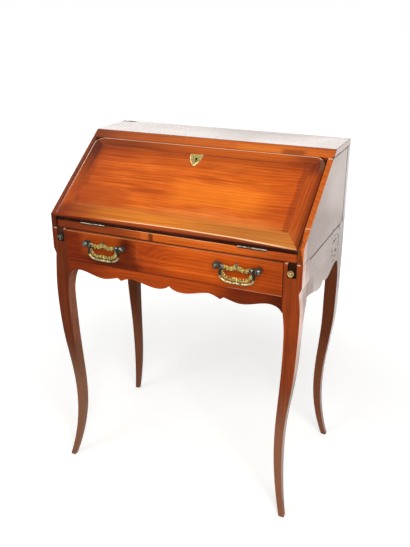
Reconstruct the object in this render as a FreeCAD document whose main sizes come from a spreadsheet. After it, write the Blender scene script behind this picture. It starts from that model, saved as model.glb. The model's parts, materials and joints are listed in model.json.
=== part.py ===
import FreeCAD
import Part
import math
import os

# Slant-front writing desk on cabriole legs, in millimetres.
# +Z is up and -Y is the front. The origin lies on the floor under the middle of the desk, handles included.

# Driving dimensions
SIZES = {
    # carcase
    "body_width": 700,
    "body_depth": 406,
    "body_height": 945,
    "side_thick": 15,
    "top_thick": 18.3,
    "slope_rise": 182,
    "slope_angle": 35.8,
    "bed_drop": 16.5,
    "rail_height": 21,
    "seam_drop": 6.2,
    "drawer_opening": 88.5,
    "post_width": 46.5,
    "front_post_depth": 59,
    "rear_post_depth": 53,
    "stile_width": 30,
    "stile_depth": 23,
    "back_thick": 10,
    "back_apron_thick": 15,
    "back_apron_drop": 15,
    "blank_margin": 60,
    # cabriole curve: heights from the floor, drops from the bracket, thicknesses and insets from the carcase
    "sole_height": 0,
    "heel_height": 60,
    "ankle_height": 170,
    "calf_drop": 304,
    "thigh_drop": 204,
    "knee_drop": 104,
    "flare_drop": 49,
    "bracket_drop": 33,
    "bracket_inset": 2,
    "flare_spread": 1,
    "sole_thick": 14.5,
    "heel_thick": 17.5,
    "ankle_thick": 22,
    "calf_thick": 26,
    "thigh_thick": 32,
    "knee_thick": 35,
    "sole_front_side": 9.2,
    "heel_front_side": 21.2,
    "ankle_front_side": 30.9,
    "calf_front_side": 24.3,
    "thigh_front_side": 10.6,
    "knee_front_side": 3.3,
    "sole_front_fore": -21,
    "heel_front_fore": -7,
    "ankle_front_fore": 5.5,
    "calf_front_fore": 3.8,
    "thigh_front_fore": -1.6,
    "knee_front_fore": -4,
    "sole_rear": 2.7,
    "heel_rear": 13.7,
    "ankle_rear": 23.4,
    "calf_rear": 16.7,
    "thigh_rear": 4.3,
    "knee_rear": 0.5,
    "shoulder_depth": 6.5,
    "shoulder_low_rise": 13,
    "shoulder_high_rise": 29,
    "shoulder_run": 45,
    # front apron: drops from its upper edge and reaches from its middle
    "apron_thick": 18,
    "lobe_drop": 38.5,
    "cusp_drop": 26,
    "crest_drop": 25,
    "notch_drop": 29,
    "tooth_drop": 36,
    "lobe_shoulder": 4,
    "flank_dip": 5,
    "outer_flank_dip": 2,
    "tooth_dip": 3,
    "lobe_reach": 40,
    "crest_reach": 112,
    "tooth_reach": 142,
    "tooth_width": 10,
    "outer_lobe_run": 40,
    "bracket_crest_inset": 28,
    "bracket_toe_inset": 10,
    "apron_end_drop": 43,
    # side aprons
    "side_lobe_drop": 37,
    "side_cusp_drop": 27,
    "side_crest_drop": 21,
    "side_lobe_reach": 48,
    "side_crest_reach": 118,
    "side_end_drop": 26,
    # front rail, writing bed and hinge line
    "bed_thick": 12,
    "rail_depth": 62,
    "hinge_setback": 5.5,
    "hinge_gap": 0.5,
    # fall
    "fall_gap": 0.4,
    "fall_side_gap": 0.8,
    "fall_top_gap": 1.0,
    "fall_end_gap": 1.7,
    "fall_corner": 28,
    "fall_round": 5,
    "fall_lip_run": 11,
    "fall_lip_drop": 9,
    "stile_band": 34,
    "top_band": 29,
    "bottom_band": 42,
    "stop_width": 12,
    "stop_thick": 12,
    "stop_gap": 0.2,
    "stop_start": 20,
    "lock_rail_depth": 36,
    "lock_rail_lip": 18,
    # lock
    "lock_width": 70,
    "lock_height": 66,
    "lock_depth": 12,
    "bolt_width": 22,
    "bolt_thick": 6,
    "bolt_length": 30,
    "bolt_sunk": 0.5,
    "bolt_floor": 3,
    "bolt_throw": 8,
    "bolt_clear": 0.2,
    "mortise_clear": 1,
    "mortise_floor": 2,
    "lock_key_clear": 0.1,
    "key_drop": 45,
    "key_radius": 3.2,
    "key_slot_width": 3.2,
    "key_slot_drop": 9.5,
    "shield_width": 35,
    "shield_height": 45,
    "shield_thick": 1.5,
    "shield_rise": 18.5,
    "shield_shift": -5,
    "shield_dip": 2,
    "shield_bend_half": 13.6,
    "shield_bend_drop": 28,
    # butt hinges
    "hinge_inset": 113,
    "hinge_length": 74,
    "leaf_width": 25,
    "leaf_thick": 1.8,
    "knuckle_count": 5,
    "knuckle_radius": 3.1,
    "knuckle_clear": 0.5,
    "knuckle_gap": 0.3,
    "pin_radius": 1.35,
    "pin_clear": 0.05,
    "screw_radius": 1.4,
    "screw_head": 2.8,
    "screw_length": 11,
    "screw_clear": 0.1,
    "screw_row": 15,
    "screw_spread": 25,
    # lopers
    "loper_slot": 22,
    "loper_height": 36,
    "loper_clear": 0.3,
    "loper_sunk": 3,
    "loper_tail": 8,
    "guide_floor": 8,
    "loper_knob_radius": 8.5,
    "loper_knob_reach": 11,
    "loper_knob_drop": 24,
    "loper_knob_shift": 2,
    # long drawer
    "drawer_gap": 1.0,
    "drawer_top_gap": 2.0,
    "drawer_proud": 2,
    "drawer_front_thick": 20,
    "drawer_side_gap": 2,
    "drawer_side_thick": 12,
    "drawer_side_height": 74,
    "drawer_back_thick": 10,
    "drawer_bottom_thick": 8,
    "drawer_bottom_rise": 7,
    "drawer_tail": 10,
    "runner_width": 48,
    "runner_thick": 10,
    "runner_clear": 0.3,
    # drop handles
    "handle_inset": 117,
    "handle_shift": 5,
    "handle_drop": 27.5,
    "post_reach": 13.2,
    "post_spread": 54,
    "ball_radius": 9.2,
    "button_radius": 2.8,
    "button_reach": 2.4,
    "button_dome": 1.4,
    "neck_radius": 3.6,
    "rose_radius": 6.5,
    "rose_thick": 2.5,
    "rose_edge": 1.5,
    "stem_radius": 2.5,
    "stem_clear": 0.1,
    "stem_proud": 1,
    "nut_size": 11,
    "nut_thick": 4,
    "bead_radius": 6,
    "bead_gap": 0.3,
    "pintle_radius": 2.2,
    "pintle_clear": 0.05,
    "pintle_length": 5,
    "bail_radius": 3,
    "bail_drop": 39.5,
    "bail_bulge": 44.5,
    "bail_bulge_drop": 22,
    "bail_foot": 29,
    "bail_bend": 12,
    "bail_bar": 2.4,
    "fleuron_height": 13.5,
    "fleuron_width": 20,
    "fleuron_waist": 4,
    "fleuron_waist_height": 6,
    "leaf_rise": 16,
    "leaf_half": 31,
    "leaf_foot_half": 25,
    "leaf_middle": 15,
    "leaf_bud_half": 4.3,
    "leaf_tip_rise": 10,
    "leaf_band": 6,
    "leaf_plate": 3.6,
    # fitted interior
    "shelf_height": 68.5,
    "shelf_thick": 8,
    "interior_depth": 150,
    "divider_place": 112,
    "divider_thick": 8,
    "small_gap": 0.8,
    "small_front_thick": 12,
    "small_side_thick": 7,
    "small_bottom_thick": 5,
    "small_bottom_rise": 4,
    "small_side_drop": 8,
    "small_tail": 10,
    "small_knob_radius": 8,
    "small_knob_reach": 14,
}

doc = FreeCAD.newDocument("slant_front_desk")
sheet = doc.addObject("Spreadsheet::Sheet", "Sizes")
for row, (alias, number) in enumerate(SIZES.items(), start=1):
    sheet.set(f"A{row}", alias)
    sheet.set(f"B{row}", str(number))
    sheet.setAlias(f"B{row}", alias)
doc.recompute()

pieces = []


def num(expression):
    """Value of an expression of the sheet."""
    value = sheet.evalExpression(expression)
    return float(getattr(value, "Value", value))


def size(alias):
    return num(f"Sizes.{alias}")


# Places that several pieces share, as expressions of the sheet
HALF = "(Sizes.body_width / 2)"
REACH = "(Sizes.drawer_proud + Sizes.post_reach + Sizes.ball_radius + Sizes.button_reach)"
FRONT = f"(({REACH} - Sizes.body_depth) / 2)"
BACK = f"(({REACH} + Sizes.body_depth) / 2)"
SIDE_IN = f"({HALF} - Sizes.side_thick)"
POST_IN = f"({HALF} - Sizes.post_width)"
STILE_IN = f"({HALF} - Sizes.stile_width)"
FRONT_POST_BACK = f"({FRONT} + Sizes.front_post_depth)"
REAR_POST_FRONT = f"({BACK} - Sizes.rear_post_depth)"
STILE_FRONT = f"({BACK} - Sizes.stile_depth)"
TOP_UNDER = "(Sizes.body_height - Sizes.top_thick)"
SLOPE_START = "(Sizes.body_height - Sizes.slope_rise)"
BED_LEVEL = f"({SLOPE_START} - Sizes.bed_drop)"
BED_UNDER = f"({BED_LEVEL} - Sizes.bed_thick)"
POST_TOP = f"({BED_LEVEL} - Sizes.rail_height)"
SEAM_LEVEL = f"({POST_TOP} - Sizes.seam_drop)"
APRON_TOP = f"({POST_TOP} - Sizes.drawer_opening)"
BRACKET_LEVEL = f"({APRON_TOP} - Sizes.bracket_drop)"
SIDE_END_LEVEL = f"({APRON_TOP} - Sizes.side_end_drop)"
HANDLE_LEVEL = f"({POST_TOP} - Sizes.handle_drop)"
HANDLE_PLACE = f"({POST_IN} - Sizes.handle_inset)"
HINGE_PLACE = f"({SIDE_IN} - Sizes.hinge_inset)"
SHELF_LEVEL = f"({BED_LEVEL} + Sizes.shelf_height)"
HINGE_Y = f"({FRONT} + Sizes.hinge_setback)"
RAIL_FRONT = f"({HINGE_Y} + Sizes.hinge_gap)"
RAIL_BACK = f"({RAIL_FRONT} + Sizes.rail_depth)"
SLOPE_SIN = "sin(Sizes.slope_angle)"
SLOPE_COS = "cos(Sizes.slope_angle)"
PIN_ALONG = f"(Sizes.hinge_setback * {SLOPE_COS} - Sizes.bed_drop * {SLOPE_SIN})"
TOP_ALONG = f"((Sizes.slope_rise - Sizes.top_thick) / {SLOPE_SIN})"
FALL_HALF = f"({SIDE_IN} - Sizes.fall_side_gap)"
FALL_TOP = f"({TOP_ALONG} - {PIN_ALONG} - Sizes.fall_top_gap)"
FALL_THICK = "(Sizes.rail_height - Sizes.fall_gap)"
FIELD_HALF = f"({FALL_HALF} - Sizes.stile_band)"
FIELD_LOW = "(Sizes.fall_end_gap + Sizes.bottom_band)"
FIELD_HIGH = f"({FALL_TOP} - Sizes.top_band)"
KEY_ALONG = f"({FALL_TOP} - Sizes.key_drop)"
LOPER_TOP = f"({POST_TOP} - Sizes.loper_clear)"
SLOT_OUT = SIDE_IN
SLOT_IN = f"({SIDE_IN} - Sizes.loper_slot)"
SLOT_FLOOR = f"({LOPER_TOP} - Sizes.loper_height - Sizes.loper_clear)"
DRAWER_FACE = f"({FRONT} - Sizes.drawer_proud)"
DRAWER_INNER = f"({DRAWER_FACE} + Sizes.drawer_front_thick)"
DRAWER_END = f"({REAR_POST_FRONT} - Sizes.drawer_tail)"
DRAWER_OUT = f"({POST_IN} - Sizes.drawer_side_gap)"
DRAWER_SIDE_IN = f"({DRAWER_OUT} - Sizes.drawer_side_thick)"
DRAWER_LOW = f"({APRON_TOP} + Sizes.runner_clear)"
PIVOT_Y = f"({DRAWER_FACE} - Sizes.post_reach)"
BEAD_SPREAD = "(Sizes.post_spread - Sizes.ball_radius - Sizes.bead_gap - Sizes.bead_radius)"
INTERIOR_FRONT = f"({STILE_FRONT} - Sizes.interior_depth)"
SMALL_HALF = "(Sizes.divider_place - Sizes.divider_thick / 2 - Sizes.small_gap)"
SMALL_LOW = f"({BED_LEVEL} + Sizes.small_gap / 2)"
SMALL_BACK = f"({STILE_FRONT} - Sizes.small_tail)"

X_AXIS = FreeCAD.Vector(1, 0, 0)
Y_AXIS = FreeCAD.Vector(0, 1, 0)


def keep(piece, label=None):
    """Lists a finished piece for export."""
    if label:
        piece.Label = label
    pieces.append(piece)
    return piece


def bind_base(item, x="0", y="0", z="0"):
    for axis, place in zip("xyz", (x, y, z)):
        item.setExpression(f"Placement.Base.{axis}", place)


def box(name, x, y, z):
    """Board between pairs of expressions along each axis."""
    item = doc.addObject("Part::Box", name)
    for key, (low, high) in zip(("Length", "Width", "Height"), (x, y, z)):
        item.setExpression(key, f"({high}) - ({low})")
    bind_base(item, x[0], y[0], z[0])
    return item


def rod(name, axis, radius, length, x="0", y="0", z="0"):
    """Cylinder that starts at a point and runs along +X, +Y or +Z."""
    item = doc.addObject("Part::Cylinder", name)
    turns = {"x": FreeCAD.Rotation(Y_AXIS, 90), "y": FreeCAD.Rotation(X_AXIS, -90), "z": FreeCAD.Rotation()}
    item.Placement = FreeCAD.Placement(FreeCAD.Vector(), turns[axis])
    item.setExpression("Radius", radius)
    item.setExpression("Height", length)
    bind_base(item, x, y, z)
    return item


def cut(name, base, *tools):
    """Base with the tools taken out of it."""
    item = doc.addObject("Part::Cut", name)
    item.Base = base
    item.Tool = tools[0] if len(tools) == 1 else fuse(f"{name}_cutter", *tools)
    return item


def fuse(name, *shapes):
    item = doc.addObject("Part::MultiFuse", name)
    item.Shapes = list(shapes)
    return item


def group(name, *shapes):
    """Separate solids that share one node."""
    item = doc.addObject("Part::Compound", name)
    item.Links = list(shapes)
    return item


def point(place):
    return FreeCAD.Vector(place[0], place[1], 0)


def chain(*places):
    return [Part.LineSegment(point(a), point(b)) for a, b in zip(places, places[1:])]


def closed(*places):
    return chain(*places, places[0])


def spline(*places):
    curve = Part.BSplineCurve()
    curve.interpolate([point(place) for place in places])
    return [curve]


def arc(start, middle, end):
    return [Part.Arc(point(start), point(middle), point(end))]


def rounded(places, radius):
    """Open run of straight lines whose inner corners are arcs of one radius."""
    curves = []
    start = point(places[0])
    for before, corner, after in zip(places, places[1:], places[2:]):
        into = (point(before) - point(corner)).normalize()
        out = (point(after) - point(corner)).normalize()
        half_turn = into.getAngle(out) / 2
        setback = radius / math.tan(half_turn)
        first = point(corner) + into * setback
        last = point(corner) + out * setback
        inward = (into + out).normalize()
        middle = point(corner) + inward * (radius / math.sin(half_turn) - radius)
        curves += [Part.LineSegment(start, first), Part.Arc(first, middle, last)]
        start = last
    return curves + [Part.LineSegment(start, point(places[-1]))]


def sketch_in(body, name, plane, curves):
    drawing = body.newObject("Sketcher::SketchObject", name)
    support = next(item for item in body.Origin.OriginFeatures if item.Role == plane)
    drawing.AttachmentSupport = [(support, "")]
    drawing.MapMode = "FlatFace"
    for curve in curves:
        drawing.addGeometry(curve, False)
    return drawing


def padded(name, plane, curves, length, x="0", y="0", z="0"):
    """Board sawn to an outline. An XZ outline pads towards -Y, a YZ outline towards +X."""
    body = doc.addObject("PartDesign::Body", name)
    drawing = sketch_in(body, f"{name}_outline", plane, curves)
    pad = body.newObject("PartDesign::Pad", f"{name}_pad")
    pad.Profile = drawing
    pad.setExpression("Length", length)
    bind_base(body, x, y, z)
    return body


def turned(name, curves, x="0", y="0", z="0"):
    """Piece turned about its own Y axis, drawn as lengths along Y and radii along Z."""
    body = doc.addObject("PartDesign::Body", name)
    drawing = sketch_in(body, f"{name}_outline", "YZ_Plane", curves)
    lathe = body.newObject("PartDesign::Revolution", f"{name}_turning")
    lathe.Profile = drawing
    lathe.ReferenceAxis = (drawing, ["H_Axis"])
    lathe.Angle = 360
    bind_base(body, x, y, z)
    return body


def lean(item, x="0"):
    """Lays a piece drawn flat on the slope: its Y runs up the fall from the pin, its Z points outwards."""
    item.Placement = FreeCAD.Placement(FreeCAD.Vector(), FreeCAD.Rotation(X_AXIS, 1))
    item.setExpression("Placement.Rotation.Angle", "Sizes.slope_angle")
    bind_base(item, x, HINGE_Y, BED_LEVEL)
    return item


def box_on_slope(name, x, y, z):
    """Board given in the fall's own directions, from the hinge pin: Y up the fall, Z outwards."""
    item = box(name, x, y, z)
    item.Placement = FreeCAD.Placement(FreeCAD.Vector(), FreeCAD.Rotation(X_AXIS, 1))
    item.setExpression("Placement.Rotation.Angle", "Sizes.slope_angle")
    bind_base(
        item, x[0], f"{HINGE_Y} + {y[0]} * {SLOPE_COS} - {z[0]} * {SLOPE_SIN}",
        f"{BED_LEVEL} + {y[0]} * {SLOPE_SIN} + {z[0]} * {SLOPE_COS}",
    )
    return item


def on_slope(along, above):
    """Height and depth of a point given along and above the line of the sides' slanted edges."""
    angle = math.radians(size("slope_angle"))
    return (
        num(FRONT) + along * math.cos(angle) - above * math.sin(angle),
        num(SLOPE_START) + along * math.sin(angle) + above * math.cos(angle),
    )


def span(sign, low, high):
    """Expression pair for a stretch on the right side, or its mirror on the left."""
    return (low, high) if sign > 0 else (f"-{high}", f"-{low}")


SIDES = (("left", -1), ("right", 1))
LOW_STATIONS = ("sole", "heel", "ankle")
HIGH_STATIONS = ("calf", "thigh", "knee")


def station_level(station):
    if station in LOW_STATIONS:
        return size(f"{station}_height")
    return num(BRACKET_LEVEL) - size(f"{station}_drop")


def leg_curves(inset_name):
    """Outer and inner edge of a cabriole leg as (inset, height) points, from the floor to the knee."""
    outer = []
    inner = []
    for station in LOW_STATIONS + HIGH_STATIONS:
        inset = size(f"{station}_{inset_name}")
        level = station_level(station)
        outer.append((inset, level))
        inner.append((inset + size(f"{station}_thick"), level))
    return outer, inner


def outline_of_leg(outer, inner, top):
    """Closed outline from the sole, up the outer edge, over the top and down the inner edge."""
    return outer + top + inner + chain(
        (inner[-1].StartPoint.x, inner[-1].StartPoint.y), (outer[0].StartPoint.x, outer[0].StartPoint.y)
    )


def front_leg(name, sign):
    flare = num(BRACKET_LEVEL) - size("flare_drop")
    bracket = num(BRACKET_LEVEL)
    top = num(POST_TOP)
    outer, inner = leg_curves("front_side")
    flare_in = inner[-1][0] + size("flare_spread")

    def across(inset, level):
        return (sign * (num(HALF) - inset), level)

    notch = (size("shoulder_depth"), num(APRON_TOP) + size("shoulder_low_rise"))
    shoulder_high = num(APRON_TOP) + size("shoulder_high_rise")
    outer_edge = spline(*[across(*p) for p in outer + [(size("bracket_inset"), bracket), notch]])
    inner_edge = spline(*[across(*p) for p in inner + [(flare_in, flare), (size("post_width"), bracket)]])
    top_edge = chain(
        across(*notch), across(0, shoulder_high), across(0, top),
        across(size("post_width"), top), across(size("post_width"), bracket),
    )
    front_view = padded(
        f"{name}_front_view", "XZ_Plane", outline_of_leg(outer_edge, inner_edge, top_edge),
        "Sizes.front_post_depth + 2 * Sizes.blank_margin", y=f"{FRONT_POST_BACK} + Sizes.blank_margin",
    )
    outer, inner = leg_curves("front_fore")
    flare_in = inner[-1][0] + size("flare_spread")

    def deep(inset, level):
        return (num(FRONT) + inset, level)

    depth = size("front_post_depth")
    end = num(SIDE_END_LEVEL)
    outer_edge = spline(*[deep(*p) for p in outer + [(0, bracket)]])
    inner_edge = spline(*[deep(*p) for p in inner + [(flare_in, flare), (depth, end)]])
    top_edge = chain(deep(0, bracket), deep(0, top), deep(depth, top), deep(depth, end))
    side_view = padded(
        f"{name}_side_view", "YZ_Plane", outline_of_leg(outer_edge, inner_edge, top_edge),
        "Sizes.post_width + 2 * Sizes.blank_margin",
        x=f"{span(sign, POST_IN, HALF)[0]} - Sizes.blank_margin",
    )
    blank = doc.addObject("Part::Common", f"{name}_blank")
    blank.Base = front_view
    blank.Tool = side_view
    slot = box(
        f"{name}_slot", span(sign, SLOT_IN, SLOT_OUT),
        (f"{FRONT} - Sizes.blank_margin", f"{FRONT_POST_BACK} + Sizes.blank_margin"),
        (SLOT_FLOOR, f"{POST_TOP} + Sizes.blank_margin"),
    )
    keep(cut(name, blank, slot))


def rear_leg(name, sign):
    flare = num(BRACKET_LEVEL) - size("flare_drop")
    bracket = num(BRACKET_LEVEL)
    seam = num(SEAM_LEVEL)
    top = num(TOP_UNDER)
    outer, inner = leg_curves("rear")
    flare_in = inner[-1][0] + size("flare_spread")

    def across(inset, level):
        return (sign * (num(HALF) - inset), level)

    def deep(inset, level):
        return (num(BACK) - inset, level)

    def view(place, width, low, stile):
        outer_edge = spline(*[place(*p) for p in outer + [(0, bracket)]])
        inner_edge = spline(*[place(*p) for p in inner + [(flare_in, flare), (width, low)]])
        top_edge = chain(
            place(0, bracket), place(0, top), place(stile, top), place(stile, seam), place(width, seam),
            place(width, low),
        )
        return outline_of_leg(outer_edge, inner_edge, top_edge)

    front_view = padded(
        f"{name}_front_view", "XZ_Plane", view(across, size("post_width"), bracket, size("stile_width")),
        "Sizes.rear_post_depth + 2 * Sizes.blank_margin", y=f"{BACK} + Sizes.blank_margin",
    )
    side_view = padded(
        f"{name}_side_view", "YZ_Plane",
        view(deep, size("rear_post_depth"), num(SIDE_END_LEVEL), size("stile_depth")),
        "Sizes.post_width + 2 * Sizes.blank_margin",
        x=f"{span(sign, POST_IN, HALF)[0]} - Sizes.blank_margin",
    )
    leg = doc.addObject("Part::Common", name)
    leg.Base = front_view
    leg.Tool = side_view
    keep(leg)


def side_panel(name, sign):
    low_corner = (num(FRONT), num(SLOPE_START))
    high_corner = on_slope(num(TOP_ALONG), 0)
    outline = closed(
        (num(FRONT), num(POST_TOP)), low_corner, high_corner, (num(STILE_FRONT), num(TOP_UNDER)),
        (num(STILE_FRONT), num(SEAM_LEVEL)), (num(FRONT_POST_BACK), num(SEAM_LEVEL)),
        (num(FRONT_POST_BACK), num(POST_TOP)),
    )
    keep(padded(name, "YZ_Plane", outline, "Sizes.side_thick", x=span(sign, SIDE_IN, HALF)[0]))


def side_apron(name, sign):
    front = num(FRONT_POST_BACK)
    rear = num(REAR_POST_FRONT)
    middle = (front + rear) / 2
    top = num(APRON_TOP)
    lobe = top - size("side_lobe_drop")
    crest = top - size("side_crest_drop")
    end = num(SIDE_END_LEVEL)
    near = size("side_lobe_reach")
    far = size("side_crest_reach")
    cusp = (middle, top - size("side_cusp_drop"))
    outline = spline((front, end), (middle - far, crest), (middle - near, lobe), cusp)
    outline += spline(cusp, (middle + near, lobe), (middle + far, crest), (rear, end))
    seam = num(SEAM_LEVEL)
    outline += chain((rear, end), (rear, seam), (front, seam), (front, end))
    board = padded(f"{name}_board", "YZ_Plane", outline, "Sizes.side_thick", x=span(sign, SIDE_IN, HALF)[0])
    keep(cut(name, board, shoulder_relief(name, sign)))


def shoulder_relief(name, sign):
    """Hollow that carries the front leg's shoulder into the apron's end, fading out along the apron."""
    face = num(HALF)
    past = face + size("blank_margin")
    inset = face - size("shoulder_depth")
    front = num(FRONT_POST_BACK)
    fade = front + size("shoulder_run")
    low = num(APRON_TOP) + size("shoulder_low_rise")
    high = num(APRON_TOP) + size("shoulder_high_rise")
    foot = num(BRACKET_LEVEL) - size("blank_margin")
    profile = [(inset, foot), (past, foot), (past, high), (face, high), (inset, low)]
    plan = [(inset, front), (past, front), (past, fade), (face, fade)]
    relief = doc.addObject("Part::Common", f"{name}_relief")
    relief.Base = padded(
        f"{name}_relief_profile", "XZ_Plane", closed(*[(sign * x, z) for x, z in profile]),
        "Sizes.shoulder_run", y=f"{FRONT_POST_BACK} + Sizes.shoulder_run",
    )
    relief.Tool = padded(
        f"{name}_relief_plan", "XY_Plane", closed(*[(sign * x, y) for x, y in plan]), "Sizes.body_height",
    )
    return relief


def front_apron():
    """Scalloped board under the drawer: lobes about a middle cusp, and a pointed tooth on each side."""
    end = num(POST_IN)
    top = num(APRON_TOP)
    low = top - size("lobe_drop")
    high = top - size("cusp_drop")
    shoulder = low + size("lobe_shoulder")
    flank = high - size("flank_dip")
    crest_level = top - size("crest_drop")
    foot = (end, top - size("apron_end_drop"))
    tooth = (size("tooth_reach"), top - size("tooth_drop"))
    notch = (tooth[0] + size("tooth_width"), top - size("notch_drop"))
    crest = (size("crest_reach"), crest_level)
    near = size("lobe_reach")
    far = notch[0] + size("outer_lobe_run")
    toward_tooth = ((crest[0] + tooth[0]) / 2, high - size("tooth_dip"))
    inner_lobe = [(0, high), (near / 3, shoulder), (near, low), (near * 2, flank), crest]
    outer_lobe = [
        notch, ((notch[0] + far) / 2, shoulder), (far, low),
        ((far + end) / 2, high - size("outer_flank_dip")), (end - size("bracket_crest_inset"), crest_level),
        (end - size("bracket_toe_inset"), flank), foot,
    ]
    curves = chain((-end, top), (end, top))
    for sign in (-1, 1):
        def at(places):
            return [(sign * x, z) for x, z in places]

        curves += spline(*at(inner_lobe)) + spline(*at([crest, toward_tooth, tooth]))
        curves += chain(*at([tooth, notch])) + spline(*at(outer_lobe)) + chain(*at([foot, (end, top)]))
    keep(padded("front_apron", "XZ_Plane", curves, "Sizes.apron_thick", y=f"{FRONT} + Sizes.apron_thick"))


def carcase_boards():
    edge_along = size("slope_rise") / num(SLOPE_SIN)
    top = closed(
        on_slope(num(TOP_ALONG), 0), on_slope(edge_along, 0), (num(BACK), size("body_height")),
        (num(BACK), num(TOP_UNDER)),
    )
    keep(padded("top_board", "YZ_Plane", top, "Sizes.body_width", x=f"-{HALF}"))
    keep(box(
        "back_apron", (f"-{POST_IN}", POST_IN), (f"{BACK} - Sizes.back_apron_thick", BACK),
        (f"({APRON_TOP} - Sizes.back_apron_drop)", SEAM_LEVEL),
    ))
    keep(box(
        "back_panel", (f"-{STILE_IN}", STILE_IN), (STILE_FRONT, f"({STILE_FRONT} + Sizes.back_thick)"),
        (SEAM_LEVEL, TOP_UNDER),
    ))
    keep(box(
        "writing_bed", (f"-{SIDE_IN}", SIDE_IN), (RAIL_BACK, STILE_FRONT), (BED_UNDER, BED_LEVEL),
    ))
    for side, sign in SIDES:
        keep(box(
            f"drawer_runner_{side}", span(sign, f"({SIDE_IN} - Sizes.runner_width)", SIDE_IN),
            (FRONT_POST_BACK, REAR_POST_FRONT), (f"({APRON_TOP} - Sizes.runner_thick)", APRON_TOP),
        ))
        loper_guide(f"loper_guide_{side}", sign)


def loper_guide(name, sign):
    """Angle of wood that carries a loper from below and guides it on its inner side."""
    inner = num(POST_IN)
    wall = num(SLOT_IN)
    outer = num(SIDE_IN)
    floor = num(SLOT_FLOOR)
    low = floor - size("guide_floor")
    top = num(LOPER_TOP)
    places = [(inner, low), (outer, low), (outer, floor), (wall, floor), (wall, top), (inner, top)]
    outline = closed(*[(sign * x, z) for x, z in places])
    length = f"{REAR_POST_FRONT} - {FRONT_POST_BACK}"
    keep(padded(name, "XZ_Plane", outline, length, y=REAR_POST_FRONT))


def hinge_leaf(name, sign, own_segments, upward):
    """Butt hinge leaf about the pin: a plate behind the knuckles that belong to it."""
    step = "(Sizes.hinge_length / Sizes.knuckle_count)"
    start = f"({sign} * {HINGE_PLACE} - Sizes.hinge_length / 2)"
    plate_z = ("0", "Sizes.leaf_thick") if upward else ("-Sizes.leaf_thick", "0")
    clear = "(Sizes.knuckle_radius + Sizes.knuckle_clear)"
    solids = [box(
        f"{name}_plate", (start, f"({start} + Sizes.hinge_length)"), (clear, "Sizes.leaf_width"), plate_z,
    )]
    for index in own_segments:
        low = f"({start} + {index} * {step} + Sizes.knuckle_gap / 2)"
        high = f"({start} + {index + 1} * {step} - Sizes.knuckle_gap / 2)"
        solids.append(rod(f"{name}_knuckle_{index}", "x", "Sizes.knuckle_radius", f"{high} - {low}", x=low))
        solids.append(box(f"{name}_tab_{index}", (low, high), ("0", clear), plate_z))
    bore = rod(
        f"{name}_bore", "x", "Sizes.pin_radius + Sizes.pin_clear",
        "Sizes.hinge_length + Sizes.blank_margin", x=f"{start} - Sizes.blank_margin / 2",
    )
    holes = [screw(f"{name}_hole_{index}", x, upward, "Sizes.screw_clear") for index, x in screw_rows(sign)]
    return cut(name, fuse(f"{name}_whole", *solids), bore, *holes)


def screw_rows(sign):
    """Screws of one leaf: one in its middle and one towards each end."""
    return [
        (index, f"({sign} * {HINGE_PLACE} + {way} * Sizes.screw_spread)")
        for index, way in enumerate((-1, 0, 1))
    ]


def screw(name, x, upward, clear="0"):
    """Countersunk screw about the pin's frame, with its head flush with the leaf's face."""
    head = doc.addObject("Part::Cone", f"{name}_head")
    head.setExpression("Radius1", f"Sizes.screw_head + {clear}")
    head.setExpression("Radius2", f"Sizes.screw_radius + {clear}")
    head.setExpression("Height", "Sizes.leaf_thick")
    shank = rod(
        f"{name}_shank", "z", f"Sizes.screw_radius + {clear}", "Sizes.screw_length", z="Sizes.leaf_thick",
    )
    whole = fuse(name, head, shank)
    if not upward:
        whole.Placement = FreeCAD.Placement(FreeCAD.Vector(), FreeCAD.Rotation(X_AXIS, 180))
    bind_base(whole, x, "Sizes.screw_row", "0")
    return whole


def hinge_seat(name, sign, upward):
    """Room for one leaf and the knuckles in the wood that carries it, about the pin's frame."""
    start = f"({sign} * {HINGE_PLACE} - Sizes.hinge_length / 2)"
    plate_x = (start, f"({start} + Sizes.hinge_length)")
    plate_z = ("-Sizes.leaf_thick", "Sizes.blank_margin")
    if upward:
        plate_z = ("-Sizes.blank_margin", "Sizes.leaf_thick")
    plate = box(f"{name}_plate", plate_x, ("-Sizes.leaf_width", "Sizes.leaf_width"), plate_z)
    knuckle = rod(
        f"{name}_knuckle", "x", "Sizes.knuckle_radius + Sizes.knuckle_clear", "Sizes.hinge_length", x=start,
    )
    holes = [screw(f"{name}_hole_{index}", x, upward, "Sizes.screw_clear") for index, x in screw_rows(sign)]
    return fuse(name, plate, knuckle, *holes)


def at_pin(item):
    bind_base(item, "0", HINGE_Y, BED_LEVEL)
    return item


def hinges():
    knuckles = range(int(size("knuckle_count")))
    rail_knuckles = knuckles[::2]
    fall_knuckles = knuckles[1::2]
    pins = []
    rail_screws = []
    fall_screws = []
    for side, sign in SIDES:
        keep(at_pin(hinge_leaf(f"hinge_leaf_rail_{side}", sign, rail_knuckles, False)))
        keep(lean(hinge_leaf(f"hinge_leaf_fall_{side}", sign, fall_knuckles, True)))
        pins.append(rod(
            f"hinge_pin_{side}", "x", "Sizes.pin_radius", "Sizes.hinge_length",
            x=f"{sign} * {HINGE_PLACE} - Sizes.hinge_length / 2", y=HINGE_Y, z=BED_LEVEL,
        ))
        rail_screws += [screw(f"rail_screw_{side}_{index}", x, False) for index, x in screw_rows(sign)]
        fall_screws += [screw(f"fall_screw_{side}_{index}", x, True) for index, x in screw_rows(sign)]
    keep(group("hinge_pins", *pins))
    keep(at_pin(group("hinge_screws_rail", *rail_screws)))
    keep(lean(group("hinge_screws_fall", *fall_screws)))


def front_rail():
    whole = box(
        "front_rail_blank", (f"-{SIDE_IN}", SIDE_IN), (RAIL_FRONT, RAIL_BACK),
        (POST_TOP, BED_LEVEL),
    )
    seats = [at_pin(hinge_seat(f"front_rail_seat_{side}", sign, False)) for side, sign in SIDES]
    keep(cut("front_rail", whole, *seats))


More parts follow.
